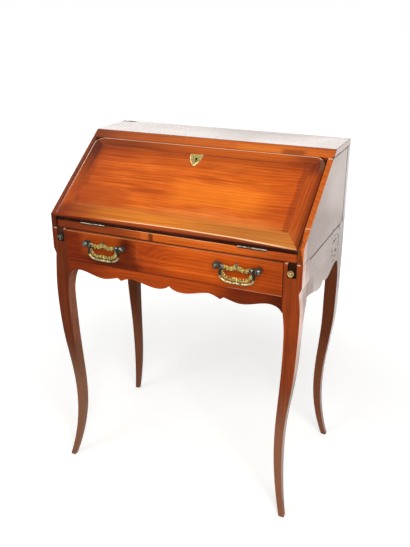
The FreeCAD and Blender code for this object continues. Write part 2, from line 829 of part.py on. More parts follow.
def fall_blank():
    """The whole fall laid flat: rounded upper corners, and its face rounded off along every edge."""
    half = num(FALL_HALF)
    low = size("fall_end_gap")
    high = num(FALL_TOP)
    radius = size("fall_corner")
    rise = radius * (1 - math.sqrt(0.5))
    right = arc((half, high - radius), (half - rise, high - rise), (half - radius, high))
    left = arc((radius - half, high), (rise - half, high - rise), (-half, high - radius))
    outline = chain((-half, high - radius), (-half, low), (half, low), (half, high - radius)) + right
    outline += chain((half - radius, high), (radius - half, high)) + left
    body = padded("fall_blank", "XY_Plane", outline, FALL_THICK)
    doc.recompute()
    thick = num(FALL_THICK)
    pad = body.Tip
    names = [
        f"Edge{index}" for index, edge in enumerate(pad.Shape.Edges, start=1)
        if edge.BoundBox.ZMin > thick / 2 and edge.BoundBox.YMax > low + radius / 2
    ]
    moulding = body.newObject("PartDesign::Fillet", "fall_moulding")
    moulding.Base = (pad, names)
    moulding.setExpression("Radius", "Sizes.fall_round")
    body.Tip = moulding
    return cut("fall_whole", body, lip_cutter(low, thick))


def lip_cutter(low, thick):
    """What is planed off the lower edge of the fall's face to round it."""
    run = size("fall_lip_run")
    drop = size("fall_lip_drop")
    past = size("blank_margin")
    share = 1 - math.sqrt(0.5)
    start = (low, thick - drop)
    end = (low + run, thick)
    outline = arc(start, (low + run * share, thick - drop * share), end)
    outline += chain(end, (end[0], thick + past), (low - past, thick + past), (low - past, start[1]), start)
    return padded("fall_lip", "YZ_Plane", outline, f"2 * {HALF}", x=f"-{HALF}")


def fall_piece(name, blank, outline, *tools):
    """One board of the fall: the part of the whole fall inside an outline, less what is let into it."""
    window = padded(f"{name}_window", "XY_Plane", outline, FALL_THICK)
    board = doc.addObject("Part::Common", f"{name}_board" if tools else name)
    board.Base = blank
    board.Tool = window
    if tools:
        board = cut(name, board, *tools)
    keep(lean(board))


def key_way(name, low, high, clear="0"):
    """Round hole with a slot under it, through the fall."""
    shift = "Sizes.shield_shift"
    radius = f"(Sizes.key_radius + {clear})"
    bore = rod(f"{name}_bore", "z", radius, f"{high} - {low}", x=shift, y=KEY_ALONG, z=low)
    half = f"(Sizes.key_slot_width / 2 + {clear})"
    slot = box(
        f"{name}_slot", (f"({shift} - {half})", f"({shift} + {half})"),
        (f"({KEY_ALONG} - Sizes.key_slot_drop - {clear})", KEY_ALONG), (low, high),
    )
    return fuse(name, bore, slot)


def fall():
    half = num(FALL_HALF)
    field = num(FIELD_HALF)
    low = size("fall_end_gap")
    field_low = num(FIELD_LOW)
    field_high = num(FIELD_HIGH)
    high = num(FALL_TOP)
    blank = fall_blank()

    def lock_room(name):
        lock_half = "(Sizes.lock_width / 2)"
        shift = "Sizes.shield_shift"
        return box(
            name, (f"({shift} - {lock_half})", f"({shift} + {lock_half})"),
            (f"({FALL_TOP} - Sizes.lock_height)", f"({FALL_TOP} + Sizes.blank_margin)"),
            ("-Sizes.blank_margin", "Sizes.lock_depth"),
        )

    seats = [hinge_seat(f"fall_seat_{side}", sign, True) for side, sign in SIDES]
    field_corners = [(-field, field_low), (field, field_low), (field, field_high), (-field, field_high)]
    corners = [(-half, low), (half, low), (half, high), (-half, high)]
    fall_piece(
        "fall_panel", blank, closed(*field_corners), lock_room("panel_lock_room"),
        key_way("panel_key_way", "0", FALL_THICK),
    )
    bands = {
        "fall_rail_bottom": (0, 1, seats),
        "fall_stile_right": (1, 2, []),
        "fall_rail_top": (2, 3, [lock_room("rail_lock_room")]),
        "fall_stile_left": (3, 0, []),
    }
    for name, (first, last, tools) in bands.items():
        mitred = closed(corners[first], corners[last], field_corners[last], field_corners[first])
        fall_piece(name, blank, mitred, *tools)
    lock(lock_room("lock_block"))


def lock(block):
    """Lock let into the fall's inner face, its bolt, the escutcheon and the rail that the bolt enters."""
    shift = "Sizes.shield_shift"
    bolt_half = "(Sizes.bolt_width / 2)"
    floor = "Sizes.bolt_floor"
    clear = "Sizes.bolt_clear"
    ceiling = f"({floor} + Sizes.bolt_thick)"
    tip = f"({FALL_TOP} - Sizes.bolt_sunk)"
    tail = f"({tip} - Sizes.bolt_length)"
    block.setExpression("Width", "Sizes.lock_height")
    block.setExpression("Height", "Sizes.lock_depth")
    block.setExpression("Placement.Base.z", "0")
    channel = box(
        "lock_channel", (f"({shift} - {bolt_half} - {clear})", f"({shift} + {bolt_half} + {clear})"),
        (f"({tail} - {clear})", f"({FALL_TOP} + Sizes.blank_margin)"),
        (f"({floor} - {clear})", f"({ceiling} + {clear})"),
    )
    case_key = key_way("case_key_way", floor, FALL_THICK, "Sizes.lock_key_clear")
    keep(lean(cut("lock_case", block, channel, case_key)))
    across = (f"({shift} - {bolt_half})", f"({shift} + {bolt_half})")
    keep(box_on_slope("lock_bolt", across, (tail, tip), (floor, ceiling)))
    half = size("shield_width") / 2
    middle = size("shield_shift")
    top = num(KEY_ALONG) + size("shield_rise")
    foot = top - size("shield_height")
    bend = size("shield_bend_half")
    bend_at = top - size("shield_bend_drop")
    outline = arc((middle - half, top), (middle, top - size("shield_dip")), (middle + half, top))
    outline += arc((middle + half, top), (middle + bend, bend_at), (middle, foot))
    outline += arc((middle, foot), (middle - bend, bend_at), (middle - half, top))
    plate = padded("escutcheon_plate", "XY_Plane", outline, "Sizes.shield_thick", z=FALL_THICK)
    through = key_way("escutcheon_key_way", "0", f"({FALL_THICK} + Sizes.blank_margin)")
    keep(lean(cut("escutcheon", plate, through)))
    room = "Sizes.mortise_clear"
    mortise = box_on_slope(
        "lock_mortise", (f"({shift} - {bolt_half} - {room})", f"({shift} + {bolt_half} + {room})"),
        (FALL_TOP, f"({FALL_TOP} + Sizes.fall_top_gap + Sizes.bolt_throw + Sizes.mortise_floor)"),
        (f"({floor} - {room})", f"({ceiling} + {room})"),
    )
    lock_rail(mortise)


def lock_rail(mortise):
    """Rail under the top board: the fall's upper end faces it, and its lip stops the closed fall."""
    pin_above = -size("hinge_setback") * num(SLOPE_SIN) - size("bed_drop") * num(SLOPE_COS)
    rest = pin_above - size("stop_gap")
    along = num(TOP_ALONG)
    lip = along - size("lock_rail_lip")
    under = num(TOP_UNDER)
    front = on_slope(along, 0)
    lip_under = on_slope(lip, rest - size("stop_thick"))
    back = front[0] + size("lock_rail_depth")
    outline = closed(
        front, on_slope(along, rest), on_slope(lip, rest), lip_under, (back, lip_under[1]), (back, under),
    )
    blank = padded("lock_rail_blank", "YZ_Plane", outline, f"2 * {SIDE_IN}", x=f"-{SIDE_IN}")
    keep(cut("lock_rail", blank, mortise))
    for side, sign in SIDES:
        keep(box_on_slope(
            f"fall_stop_{side}", span(sign, f"({SIDE_IN} - Sizes.stop_width)", SIDE_IN),
            ("Sizes.stop_start", f"({TOP_ALONG} - {PIN_ALONG} - Sizes.lock_rail_lip)"),
            ("(-Sizes.stop_gap - Sizes.stop_thick)", "(-Sizes.stop_gap)"),
        ))


def knob_outline(radius, reach):
    """Turned knob: a waisted neck, a rounded rim, a shallow dish and a button in the middle of the dish."""
    foot = radius * 0.6
    neck = radius * 0.5
    edge = radius * 0.9
    dish = radius * 0.6
    button = radius * 0.42
    rim_back = -reach * 0.45
    rim_front = -reach * 0.82
    floor = -reach * 0.7
    outline = chain((0, 0), (0, foot), (rim_back * 0.6, neck), (rim_back, edge))
    outline += arc((rim_back, edge), ((rim_back + rim_front) / 2, radius), (rim_front, edge))
    outline += chain((rim_front, edge), (floor, dish), (floor, button))
    face = button * 0.5
    outline += arc((floor, button), (-reach * 0.92, button * 0.8), (-reach, face))
    return outline + chain((-reach, face), (-reach, 0), (0, 0))


def lopers():
    knob_base = f"({FRONT} + Sizes.loper_sunk)"
    for side, sign in SIDES:
        clear = "Sizes.loper_clear"
        keep(box(
            f"loper_{side}", span(sign, f"({SLOT_IN} + {clear})", f"({SLOT_OUT} - {clear})"),
            (knob_base, f"({REAR_POST_FRONT} - Sizes.loper_tail)"),
            (f"({LOPER_TOP} - Sizes.loper_height)", LOPER_TOP),
        ))
        outline = knob_outline(size("loper_knob_radius"), size("loper_knob_reach"))
        middle = f"{sign} * (({SLOT_IN} + {SLOT_OUT}) / 2 - Sizes.loper_knob_shift)"
        keep(turned(
            f"loper_knob_{side}", outline, x=middle, y=knob_base, z=f"{LOPER_TOP} - Sizes.loper_knob_drop",
        ))


def handle_middle(sign):
    """Middle of a handle; the pair was fixed a little to the right of the drawer's own middle."""
    return f"({sign} * {HANDLE_PLACE} + Sizes.handle_shift)"


def stem_hole(name, x):
    return rod(
        name, "y", "Sizes.stem_radius + Sizes.stem_clear",
        "Sizes.drawer_front_thick + 2 * Sizes.blank_margin", x=x, y=f"{DRAWER_FACE} - Sizes.blank_margin",
        z=HANDLE_LEVEL,
    )


def drawer():
    front = box(
        "drawer_front_blank", (f"(Sizes.drawer_gap - {POST_IN})", f"({POST_IN} - Sizes.drawer_gap)"),
        (DRAWER_FACE, DRAWER_INNER),
        (f"({APRON_TOP} + Sizes.drawer_gap)", f"({POST_TOP} - Sizes.drawer_top_gap)"),
    )
    places = [
        (f"{side}_{end}", f"({handle_middle(sign)} + {way} * Sizes.post_spread)", side, way)
        for side, sign in SIDES for end, way in SIDES
    ]
    keep(cut("drawer_front", front, *[stem_hole(f"stem_hole_{name}", x) for name, x, _, _ in places]))
    high = f"({DRAWER_LOW} + Sizes.drawer_side_height)"
    for side, sign in SIDES:
        keep(box(
            f"drawer_side_{side}", span(sign, DRAWER_SIDE_IN, DRAWER_OUT), (DRAWER_INNER, DRAWER_END),
            (DRAWER_LOW, high),
        ))
    inner = (f"-{DRAWER_SIDE_IN}", DRAWER_SIDE_IN)
    back_front = f"({DRAWER_END} - Sizes.drawer_back_thick)"
    keep(box("drawer_back", inner, (back_front, DRAWER_END), (DRAWER_LOW, high)))
    bottom = f"({DRAWER_LOW} + Sizes.drawer_bottom_rise)"
    keep(box(
        "drawer_bottom", inner, (DRAWER_INNER, back_front),
        (bottom, f"({bottom} + Sizes.drawer_bottom_thick)"),
    ))
    posts = {side: [] for side, _ in SIDES}
    nuts = []
    for name, x, side, way in places:
        posts[side].append(handle_post(f"handle_post_{name}", x, way))
        nut_half = "(Sizes.nut_size / 2)"
        nut = box(
            f"nut_{name}", (f"({x} - {nut_half})", f"({x} + {nut_half})"),
            (DRAWER_INNER, f"({DRAWER_INNER} + Sizes.nut_thick)"),
            (f"({HANDLE_LEVEL} - {nut_half})", f"({HANDLE_LEVEL} + {nut_half})"),
        )
        nuts.append(cut(f"handle_nut_{name}", nut, stem_hole(f"nut_hole_{name}", x)))
    for side, _ in SIDES:
        keep(group(f"handle_posts_{side}", *posts[side]))
    keep(group("handle_nuts", *nuts))


def handle_post(name, x, way):
    """Ball-headed post with a button, through the drawer front and bored on its inner side for a pintle."""
    reach = size("post_reach")
    ball = size("ball_radius")
    neck = size("neck_radius")
    rose = size("rose_radius")
    rose_thick = size("rose_thick")
    stem = size("stem_radius")
    tail = size("drawer_front_thick") + size("nut_thick") + size("stem_proud")
    ball_end = -reach + math.sqrt(ball ** 2 - neck ** 2)
    outline = chain(
        (tail, 0), (tail, stem), (0, stem), (0, rose), (-size("rose_edge"), rose), (-rose_thick, neck),
        (ball_end, neck),
    )
    button = size("button_radius")
    button_root = -reach - math.sqrt(ball ** 2 - button ** 2)
    pole = (-reach - ball - size("button_reach"), 0)
    dome = size("button_dome")
    dome_edge = (pole[0] + dome, button)
    dome_radius = (button ** 2 + dome ** 2) / (2 * dome)
    half_angle = math.asin(button / dome_radius) / 2
    dome_middle = (pole[0] + dome_radius * (1 - math.cos(half_angle)), dome_radius * math.sin(half_angle))
    outline += arc((ball_end, neck), (-reach, ball), (button_root, button))
    outline += chain((button_root, button), dome_edge)
    outline += arc(dome_edge, dome_middle, pole) + chain(pole, (tail, 0))
    blank = turned(f"{name}_blank", outline, x=x, y=DRAWER_FACE, z=HANDLE_LEVEL)
    depth = "(Sizes.bead_gap + Sizes.pintle_length + Sizes.pintle_clear)"
    start = f"({x} - {way} * (Sizes.ball_radius + Sizes.bead_gap))"
    low = start if way > 0 else f"({start} - {depth})"
    bore = rod(
        f"{name}_bore", "x", "Sizes.pintle_radius + Sizes.pintle_clear", depth, x=low, y=PIVOT_Y,
        z=HANDLE_LEVEL,
    )
    return cut(name, blank, bore)


def drop_handle(name, sign):
    """Cast drop: a bail and a pierced cresting bar between two beads, whose pintles turn in the posts."""
    bead = num(BEAD_SPREAD)
    drop = -size("bail_drop")
    places = [
        (-bead, 0), (-size("bail_bulge"), -size("bail_bulge_drop")), (-size("bail_foot"), drop),
        (size("bail_foot"), drop), (size("bail_bulge"), -size("bail_bulge_drop")), (bead, 0),
    ]
    body = doc.addObject("PartDesign::Body", f"{name}_bail")
    path = sketch_in(body, f"{name}_path", "XZ_Plane", rounded(places, size("bail_bend")))
    ring = Part.Circle(FreeCAD.Vector(-bead, 0, 0), FreeCAD.Vector(0, 0, 1), size("bail_radius"))
    section = sketch_in(body, f"{name}_section", "XY_Plane", [ring])
    pipe = body.newObject("PartDesign::AdditivePipe", f"{name}_pipe")
    pipe.Profile = section
    pipe.Spine = path
    bind_base(body)
    solids = [body, rod(f"{name}_bar", "x", "Sizes.bail_bar", f"2 * {BEAD_SPREAD}", x=f"-{BEAD_SPREAD}")]
    length = "(Sizes.bead_radius + Sizes.bead_gap + Sizes.pintle_length)"
    for end, way in SIDES:
        ball = doc.addObject("Part::Sphere", f"{name}_bead_{end}")
        ball.setExpression("Radius", "Sizes.bead_radius")
        bind_base(ball, f"{way} * {BEAD_SPREAD}")
        low = BEAD_SPREAD if way > 0 else f"-{BEAD_SPREAD} - {length}"
        solids += [ball, rod(f"{name}_pintle_{end}", "x", "Sizes.pintle_radius", length, x=low)]
    plate_y = "Sizes.leaf_plate / 2"
    crest_half = size("fleuron_width") / 2
    waist = size("fleuron_waist")
    waist_height = size("fleuron_waist_height")
    peak = (0, size("fleuron_height"))
    crest = spline((-crest_half, 0), (-waist, waist_height), peak)
    crest += spline(peak, (waist, waist_height), (crest_half, 0)) + chain((crest_half, 0), (-crest_half, 0))
    solids.append(padded(f"{name}_crest", "XZ_Plane", crest, "Sizes.leaf_plate", y=plate_y))
    band = drop + size("leaf_band")
    bud = (0, drop + size("leaf_rise"))
    tip = (size("leaf_half"), drop + size("leaf_tip_rise"))
    foot = size("leaf_foot_half")
    edge = [bud, (size("leaf_bud_half"), band), (size("leaf_middle"), band), tip]
    mirrored = [(-x, z) for x, z in edge]
    leaf = spline(*edge) + spline(*mirrored) + chain(tip, (foot, drop), (-foot, drop), mirrored[-1])
    solids.append(padded(f"{name}_leaf", "XZ_Plane", leaf, "Sizes.leaf_plate", y=plate_y))
    whole = fuse(name, *solids)
    bind_base(whole, handle_middle(sign), PIVOT_Y, HANDLE_LEVEL)
    keep(whole)


def interior():
    shelf_top = f"({SHELF_LEVEL} + Sizes.shelf_thick)"
    depth = (INTERIOR_FRONT, STILE_FRONT)
    keep(box("interior_shelf", (f"-{SIDE_IN}", SIDE_IN), depth, (SHELF_LEVEL, shelf_top)))
    for side, sign in SIDES:
        middle = f"{sign} * Sizes.divider_place"
        keep(box(
            f"interior_divider_{side}",
            (f"({middle} - Sizes.divider_thick / 2)", f"({middle} + Sizes.divider_thick / 2)"),
            depth, (BED_LEVEL, SHELF_LEVEL),
        ))
    high = f"({SHELF_LEVEL} - Sizes.small_gap)"
    inner_front = f"({INTERIOR_FRONT} + Sizes.small_front_thick)"
    keep(box(
        "small_drawer_front", (f"-{SMALL_HALF}", SMALL_HALF), (INTERIOR_FRONT, inner_front),
        (SMALL_LOW, high),
    ))
    side_in = f"({SMALL_HALF} - Sizes.small_side_thick)"
    side_high = f"({high} - Sizes.small_side_drop)"
    for side, sign in SIDES:
        keep(box(
            f"small_drawer_side_{side}", span(sign, side_in, SMALL_HALF), (inner_front, SMALL_BACK),
            (SMALL_LOW, side_high),
        ))
    inner = (f"-{side_in}", side_in)
    back_front = f"({SMALL_BACK} - Sizes.small_side_thick)"
    keep(box("small_drawer_back", inner, (back_front, SMALL_BACK), (SMALL_LOW, side_high)))
    bottom = f"({SMALL_LOW} + Sizes.small_bottom_rise)"
    keep(box(
        "small_drawer_bottom", inner, (inner_front, back_front),
        (bottom, f"({bottom} + Sizes.small_bottom_thick)"),
    ))
    outline = knob_outline(size("small_knob_radius"), size("small_knob_reach"))
    keep(turned("small_drawer_knob", outline, y=INTERIOR_FRONT, z=f"({SMALL_LOW} + {high}) / 2"))


for side, sign in SIDES:
    front_leg(f"front_leg_{side}", sign)
    rear_leg(f"rear_leg_{side}", sign)
    side_panel(f"side_panel_{side}", sign)
    side_apron(f"side_apron_{side}", sign)
front_apron()
carcase_boards()
front_rail()
hinges()
fall()
lopers()
drawer()
for side, sign in SIDES:
    drop_handle(f"drop_handle_{side}", sign)
interior()
doc.recompute()

for item in doc.Objects:
    if "Invalid" in item.State or "Error" in item.State:
        raise RuntimeError(f"{item.Name} failed to build: {item.State}")
for piece in pieces:
    if piece.Shape.isNull() or not piece.Shape.isValid() or piece.Shape.Volume <= 0:
        raise RuntimeError(f"{piece.Label} has no valid solid")

os.makedirs("parts", exist_ok=True)
for piece in pieces:
    piece.Shape.exportStep(f"parts/{piece.Label}.step")
    print(f"{piece.Label}: {len(piece.Shape.Solids)} solid, {piece.Shape.Volume / 1000:.1f} cm3")
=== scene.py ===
import json
import math

import bmesh
import bpy
from mathutils import Matrix, Vector


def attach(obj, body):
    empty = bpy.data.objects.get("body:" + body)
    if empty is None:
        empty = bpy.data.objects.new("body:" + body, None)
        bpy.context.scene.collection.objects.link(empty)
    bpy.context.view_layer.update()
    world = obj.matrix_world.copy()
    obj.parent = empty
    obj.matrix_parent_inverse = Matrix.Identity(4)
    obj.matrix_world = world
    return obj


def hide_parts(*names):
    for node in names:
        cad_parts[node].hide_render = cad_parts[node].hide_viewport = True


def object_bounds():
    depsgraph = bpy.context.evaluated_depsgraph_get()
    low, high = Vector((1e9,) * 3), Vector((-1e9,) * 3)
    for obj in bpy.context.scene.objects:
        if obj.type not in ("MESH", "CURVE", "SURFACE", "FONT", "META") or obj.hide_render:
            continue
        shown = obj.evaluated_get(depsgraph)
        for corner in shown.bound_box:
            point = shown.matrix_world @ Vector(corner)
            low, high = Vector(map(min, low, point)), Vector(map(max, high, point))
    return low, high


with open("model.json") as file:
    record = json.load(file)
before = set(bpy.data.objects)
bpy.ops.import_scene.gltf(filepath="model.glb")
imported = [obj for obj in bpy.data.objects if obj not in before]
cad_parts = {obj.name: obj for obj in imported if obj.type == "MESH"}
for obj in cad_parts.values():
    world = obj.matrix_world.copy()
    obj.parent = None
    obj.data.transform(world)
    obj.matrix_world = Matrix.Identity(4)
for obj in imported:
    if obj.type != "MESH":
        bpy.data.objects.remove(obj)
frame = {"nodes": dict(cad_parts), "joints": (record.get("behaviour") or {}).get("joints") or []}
cad_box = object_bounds()

MILLIMETRE = 0.001
JOINTS = {joint["name"]: joint for joint in frame["joints"]}

# Directions: across the desk to the right, to its back, upwards, up the slope of the fall and out of it
ACROSS, DEEP, UPWARDS = (1, 0, 0), (0, 1, 0), (0, 0, 1)
SLOPE = math.pi - math.radians(JOINTS["fall_hinge"]["range_deg"][1])
UP_THE_FALL = (0, math.cos(SLOPE), math.sin(SLOPE))
OUT_OF_FALL = (0, -math.sin(SLOPE), math.cos(SLOPE))

# How boards are cut: along the grain, then across it on the face that shows
ACROSS_FRONT = (ACROSS, UPWARDS)
ACROSS_TOP = (ACROSS, DEEP)
UPRIGHT = (UPWARDS, ACROSS)
ALONG_SIDE = (DEEP, UPWARDS)
ACROSS_FALL = (ACROSS, UP_THE_FALL)
ALONG_FALL = (UP_THE_FALL, ACROSS)


def extent(node, axis):
    """Lowest and highest place of a CAD node along an axis."""
    places = [vertex.co.dot(Vector(axis)) for vertex in frame["nodes"][node].data.vertices]
    return min(places), max(places)


# Places that the frame gives, in metres
FLOOR_LEVEL = cad_box[0].z
HALF_WIDTH, BACK, TOP_LEVEL = cad_box[1]
BEAD_LEVEL = JOINTS["handle_left_swing"]["pos_m"][2]
SIDE_FOOT, SIDE_HEAD = extent("side_panel_right", UPWARDS)
DRAWER_FOOT, DRAWER_HEAD = extent("drawer_front", UPWARDS)
RAIL_HEAD = extent("front_rail", UPWARDS)[1]
LEG_HEAD = extent("front_leg_right", UPWARDS)[1]

# The fall, measured across the desk, up the slope and out of it
PIN_ALONG = Vector(JOINTS["fall_hinge"]["pos_m"]).dot(Vector(UP_THE_FALL))
FALL_FOOT = extent("fall_rail_bottom", UP_THE_FALL)[0]
FALL_HEAD = extent("fall_rail_top", UP_THE_FALL)[1]
FALL_HALF = extent("fall_stile_right", ACROSS)[1]
FALL_FACE = extent("fall_panel", OUT_OF_FALL)[1]
FALL_CORNER = 0.028
FALL_LIP = PIN_ALONG + 0.0114
LIP_SAG = 0.075
KEY_RISE = 0.2365
KEYHOLE = (sum(extent("escutcheon", ACROSS)) / 2, PIN_ALONG + KEY_RISE)


class Graph:
    """Nodes of a material or of the world. Most methods add some and return the socket with the result."""

    RAY_SAMPLES = 6

    def __init__(self, owner):
        owner.use_nodes = True
        self.owner = owner
        self.tree = owner.node_tree
        self.tree.nodes.clear()
        self.coords = self.add("ShaderNodeTexCoord").outputs["Object"]

    def add(self, kind, inputs=None, **settings):
        node = self.tree.nodes.new(kind)
        for key, value in settings.items():
            setattr(node, key, value)
        for key, value in (inputs or {}).items():
            self.feed(node.inputs[key], value)
        return node

    def feed(self, socket, value):
        if isinstance(value, bpy.types.NodeSocket):
            self.tree.links.new(value, socket)
        else:
            socket.default_value = value

    def calc(self, operation, first, second=0.0, clamp=False):
        node = self.add("ShaderNodeMath", {0: first, 1: second}, operation=operation, use_clamp=clamp)
        return node.outputs[0]

    def times(self, first, second):
        return self.calc("MULTIPLY", first, second)

    def minus(self, first, second):
        return self.calc("SUBTRACT", first, second)

    def larger(self, first, second):
        return self.calc("MAXIMUM", first, second)

    def total(self, *terms):
        result = terms[0]
        for term in terms[1:]:
            result = self.calc("ADD", result, term)
        return result

    def dot(self, vector, axis):
        node = self.add("ShaderNodeVectorMath", {0: vector, 1: axis}, operation="DOT_PRODUCT")
        return node.outputs["Value"]

    def length(self, vector):
        return self.add("ShaderNodeVectorMath", {0: vector}, operation="LENGTH").outputs["Value"]

    def combine(self, x, y, z):
        return self.add("ShaderNodeCombineXYZ", {"X": x, "Y": y, "Z": z}).outputs[0]

    def noise(self, place, lumps, detail=2.0, roughness=0.5):
        """Cloudy noise from 0 to 1, with its own number of lumps per metre along each axis."""
        stretched = self.add("ShaderNodeVectorMath", {0: place, 1: lumps}, operation="MULTIPLY").outputs[0]
        inputs = {"Vector": stretched, "Scale": 1.0, "Detail": detail, "Roughness": roughness}
        return self.add("ShaderNodeTexNoise", inputs).outputs[0]

    def between(self, value, low, high, start=0.0, end=1.0):
        """Smooth step from start to end as a value goes from low to high."""
        inputs = {"Value": value, "From Min": low, "From Max": high, "To Min": start, "To Max": end}
        return self.add("ShaderNodeMapRange", inputs, interpolation_type="SMOOTHSTEP").outputs["Result"]

    def mix(self, factor, first, second, blend="MIX"):
        """Colour between two. Its sockets are counted, because several have the same name."""
        node = self.add("ShaderNodeMix", data_type="RGBA", blend_type=blend)
        for index, value in ((0, factor), (6, first), (7, second)):
            self.feed(node.inputs[index], value)
        return node.outputs[2]

    def ramp(self, factor, *stops):
        node = self.add("ShaderNodeValToRGB", {"Fac": factor})
        elements = node.color_ramp.elements
        for index, (place, colour) in enumerate(stops):
            element = elements[index] if index < len(elements) else elements.new(place)
            element.position = place
            element.color = colour
        return node.outputs["Color"]

    def normal(self):
        return self.add("ShaderNodeNewGeometry").outputs["Normal"]

    def rounded_normal(self, radius):
        return self.add("ShaderNodeBevel", {"Radius": radius}, samples=self.RAY_SAMPLES).outputs[0]

    def edges(self, radius):
        """0 on flat faces, rising on edges."""
        return self.calc("SUBTRACT", 1.0, self.dot(self.rounded_normal(radius), self.normal()), clamp=True)

    def open_air(self, distance):
        """1 in the open, falling in corners and seams."""
        inputs = {"Distance": distance}
        return self.add("ShaderNodeAmbientOcclusion", inputs, samples=self.RAY_SAMPLES).outputs["AO"]

    def bump(self, height, distance, normal=None):
        node = self.add("ShaderNodeBump", {"Height": height, "Distance": distance})
        if normal:
            self.feed(node.inputs["Normal"], normal)
        return node.outputs[0]

    def backdrop(self):
        """Two measures: 1 for rays that see the background itself, and 1 for rays that see it in gloss."""
        path = self.add("ShaderNodeLightPath").outputs
        seen = self.larger(path["Is Camera Ray"], path["Is Transmission Ray"])
        return seen, path["Is Glossy Ray"]

    def finish(self, inputs, kind="ShaderNodeBsdfPrincipled", output="ShaderNodeOutputMaterial"):
        """Ends the graph with a shader, and returns its owner."""
        shader = self.add(kind, inputs)
        self.tree.links.new(shader.outputs[0], self.add(output).inputs["Surface"])
        return self.owner


def new_graph(name):
    return Graph(bpy.data.materials.new(name))


def rgb(red, green, blue):
    return (red, green, blue, 1.0)


# Measures of a place on the desk. Steps are the levels where one starts to count and counts in full
RIGHT_STEP = (0.28, 0.29)
LEVEL_STEP = (0.88, 0.98)
SCUFF_LUMPS = (34.0, 34.0, 130.0)


def level(axis):
    """Measure of a place along an axis."""
    return lambda g: g.dot(g.coords, axis)


X, Y, Z = level(ACROSS), level(DEEP), level(UPWARDS)
UP_FALL = level(UP_THE_FALL)


def off_middle(g):
    """Distance from the middle of the desk, to either side."""
    return g.calc("ABSOLUTE", X(g))


def facing_right(g):
    """1 where a face looks to the right, 0 where it looks forwards or up."""
    return g.dot(g.normal(), ACROSS)


def facing_up(g):
    """1 on top, 0 on upright faces and -1 below."""
    return g.dot(g.normal(), UPWARDS)


def right_side(g):
    """As facing_right, on the outside of the desk only."""
    return g.times(facing_right(g), g.between(X(g), *RIGHT_STEP))


def front_level(g):
    """Height, out of reach on the right side."""
    return g.total(Z(g), right_side(g))


def across_bevel(g):
    """Place across the desk, out of reach on the flat top."""
    return g.total(X(g), g.between(facing_up(g), *LEVEL_STEP))


def scuffs(g):
    """Short strokes along a side, as a noise from 0 to 1."""
    return g.noise(g.coords, SCUFF_LUMPS, detail=3.0)


def along_lip(g):
    """Measure up the fall that puts a level line lower towards the ends of the lip, where the painted
    highlight and shade along it sag.
    """
    return g.total(UP_FALL(g), g.times(g.calc("POWER", off_middle(g), 2.0), LIP_SAG))


def in_from_rim(g):
    """Distance in from the rim of the fall, which runs up its sides and round its upper corners."""
    across = g.minus(off_middle(g), FALL_HALF - FALL_CORNER)
    up = g.minus(UP_FALL(g), FALL_HEAD - FALL_CORNER)
    corner = g.combine(g.larger(across, 0.0), g.larger(up, 0.0), 0.0)
    return g.minus(FALL_CORNER, g.length(corner))


def under_face(g):
    """Depth below the face of the fall."""
    return g.minus(FALL_FACE, g.dot(g.coords, OUT_OF_FALL))


WHITE = rgb(1, 1, 1)
# Near black, for painted shade in corners, seams and gaps, and for dirt
GRIME_AND_SHADE = rgb(0.016, 0.006, 0.004)
POLISH_TINT = rgb(0.8, 0.26, 0.06)

# Tones of the wood: light, middle and dark grain, and the tone its edges take, for wear and painted
# highlight, and on the rear legs for dark worn edges
TONES = {
    "field": (
        rgb(0.86, 0.195, 0.022), rgb(0.62, 0.106, 0.009), rgb(0.3, 0.038, 0.004), rgb(0.8, 0.3, 0.08),
    ),
    "red_band": (
        rgb(0.56, 0.105, 0.014), rgb(0.4, 0.066, 0.01), rgb(0.17, 0.028, 0.008), rgb(0.7, 0.26, 0.1),
    ),
    "gold_band": (
        rgb(0.82, 0.275, 0.036), rgb(0.63, 0.175, 0.02), rgb(0.38, 0.082, 0.012), rgb(0.9, 0.42, 0.16),
    ),
    "drawer": (
        rgb(0.66, 0.11, 0.011), rgb(0.46, 0.066, 0.005), rgb(0.18, 0.022, 0.003), rgb(0.7, 0.25, 0.08),
    ),
    "apron": (
        rgb(0.46, 0.066, 0.007), rgb(0.34, 0.046, 0.005), rgb(0.15, 0.022, 0.005), rgb(0.6, 0.2, 0.08),
    ),
    "rail": (
        rgb(0.74, 0.16, 0.017), rgb(0.56, 0.105, 0.012), rgb(0.3, 0.048, 0.009), rgb(0.9, 0.45, 0.2),
    ),
    "left_leg": (
        rgb(0.17, 0.028, 0.007), rgb(0.11, 0.018, 0.005), rgb(0.05, 0.01, 0.004), rgb(0.3, 0.11, 0.05),
    ),
    "right_leg": (
        rgb(0.32, 0.048, 0.009), rgb(0.2, 0.031, 0.007), rgb(0.09, 0.016, 0.005), rgb(0.4, 0.15, 0.07),
    ),
    "rear_leg": (
        rgb(0.15, 0.042, 0.017), rgb(0.1, 0.026, 0.011), rgb(0.048, 0.013, 0.007), rgb(0.03, 0.01, 0.007),
    ),
    # The lopers' ends near black: painted shade of the pockets they sit in
    "loper": (
        rgb(0.03, 0.011, 0.006), rgb(0.02, 0.008, 0.005), rgb(0.01, 0.005, 0.004), rgb(0.1, 0.05, 0.03),
    ),
    "case": (
        rgb(0.66, 0.145, 0.02), rgb(0.5, 0.1, 0.013), rgb(0.24, 0.044, 0.009), rgb(0.6, 0.26, 0.11),
    ),
    "inner": (
        rgb(0.56, 0.33, 0.15), rgb(0.43, 0.23, 0.095), rgb(0.27, 0.13, 0.055), rgb(0.62, 0.42, 0.24),
    ),
}

# Lumps per metre of the noises in a board: along its grain, across its face and through it
FIBRE_LUMPS = (14.0, 520.0, 520.0)
PORE_LUMPS = (70.0, 1500.0, 1500.0)
BAND_LUMPS = (2.0, 170.0, 170.0)
STREAK_LUMPS = (1.3, 60.0, 60.0)
CLOUD_LUMPS = (16.0, 48.0, 48.0)
RUB_LUMPS = (30.0, 45.0, 45.0)
STAIN_LUMPS = (9.0, 26.0, 26.0)
SWELL_LUMPS = (5.0, 9.0, 9.0)
DRIFT_LUMPS = (1.5, 8.0, 8.0)
MOTTLE_LUMPS = (3.0, 7.0, 7.0)
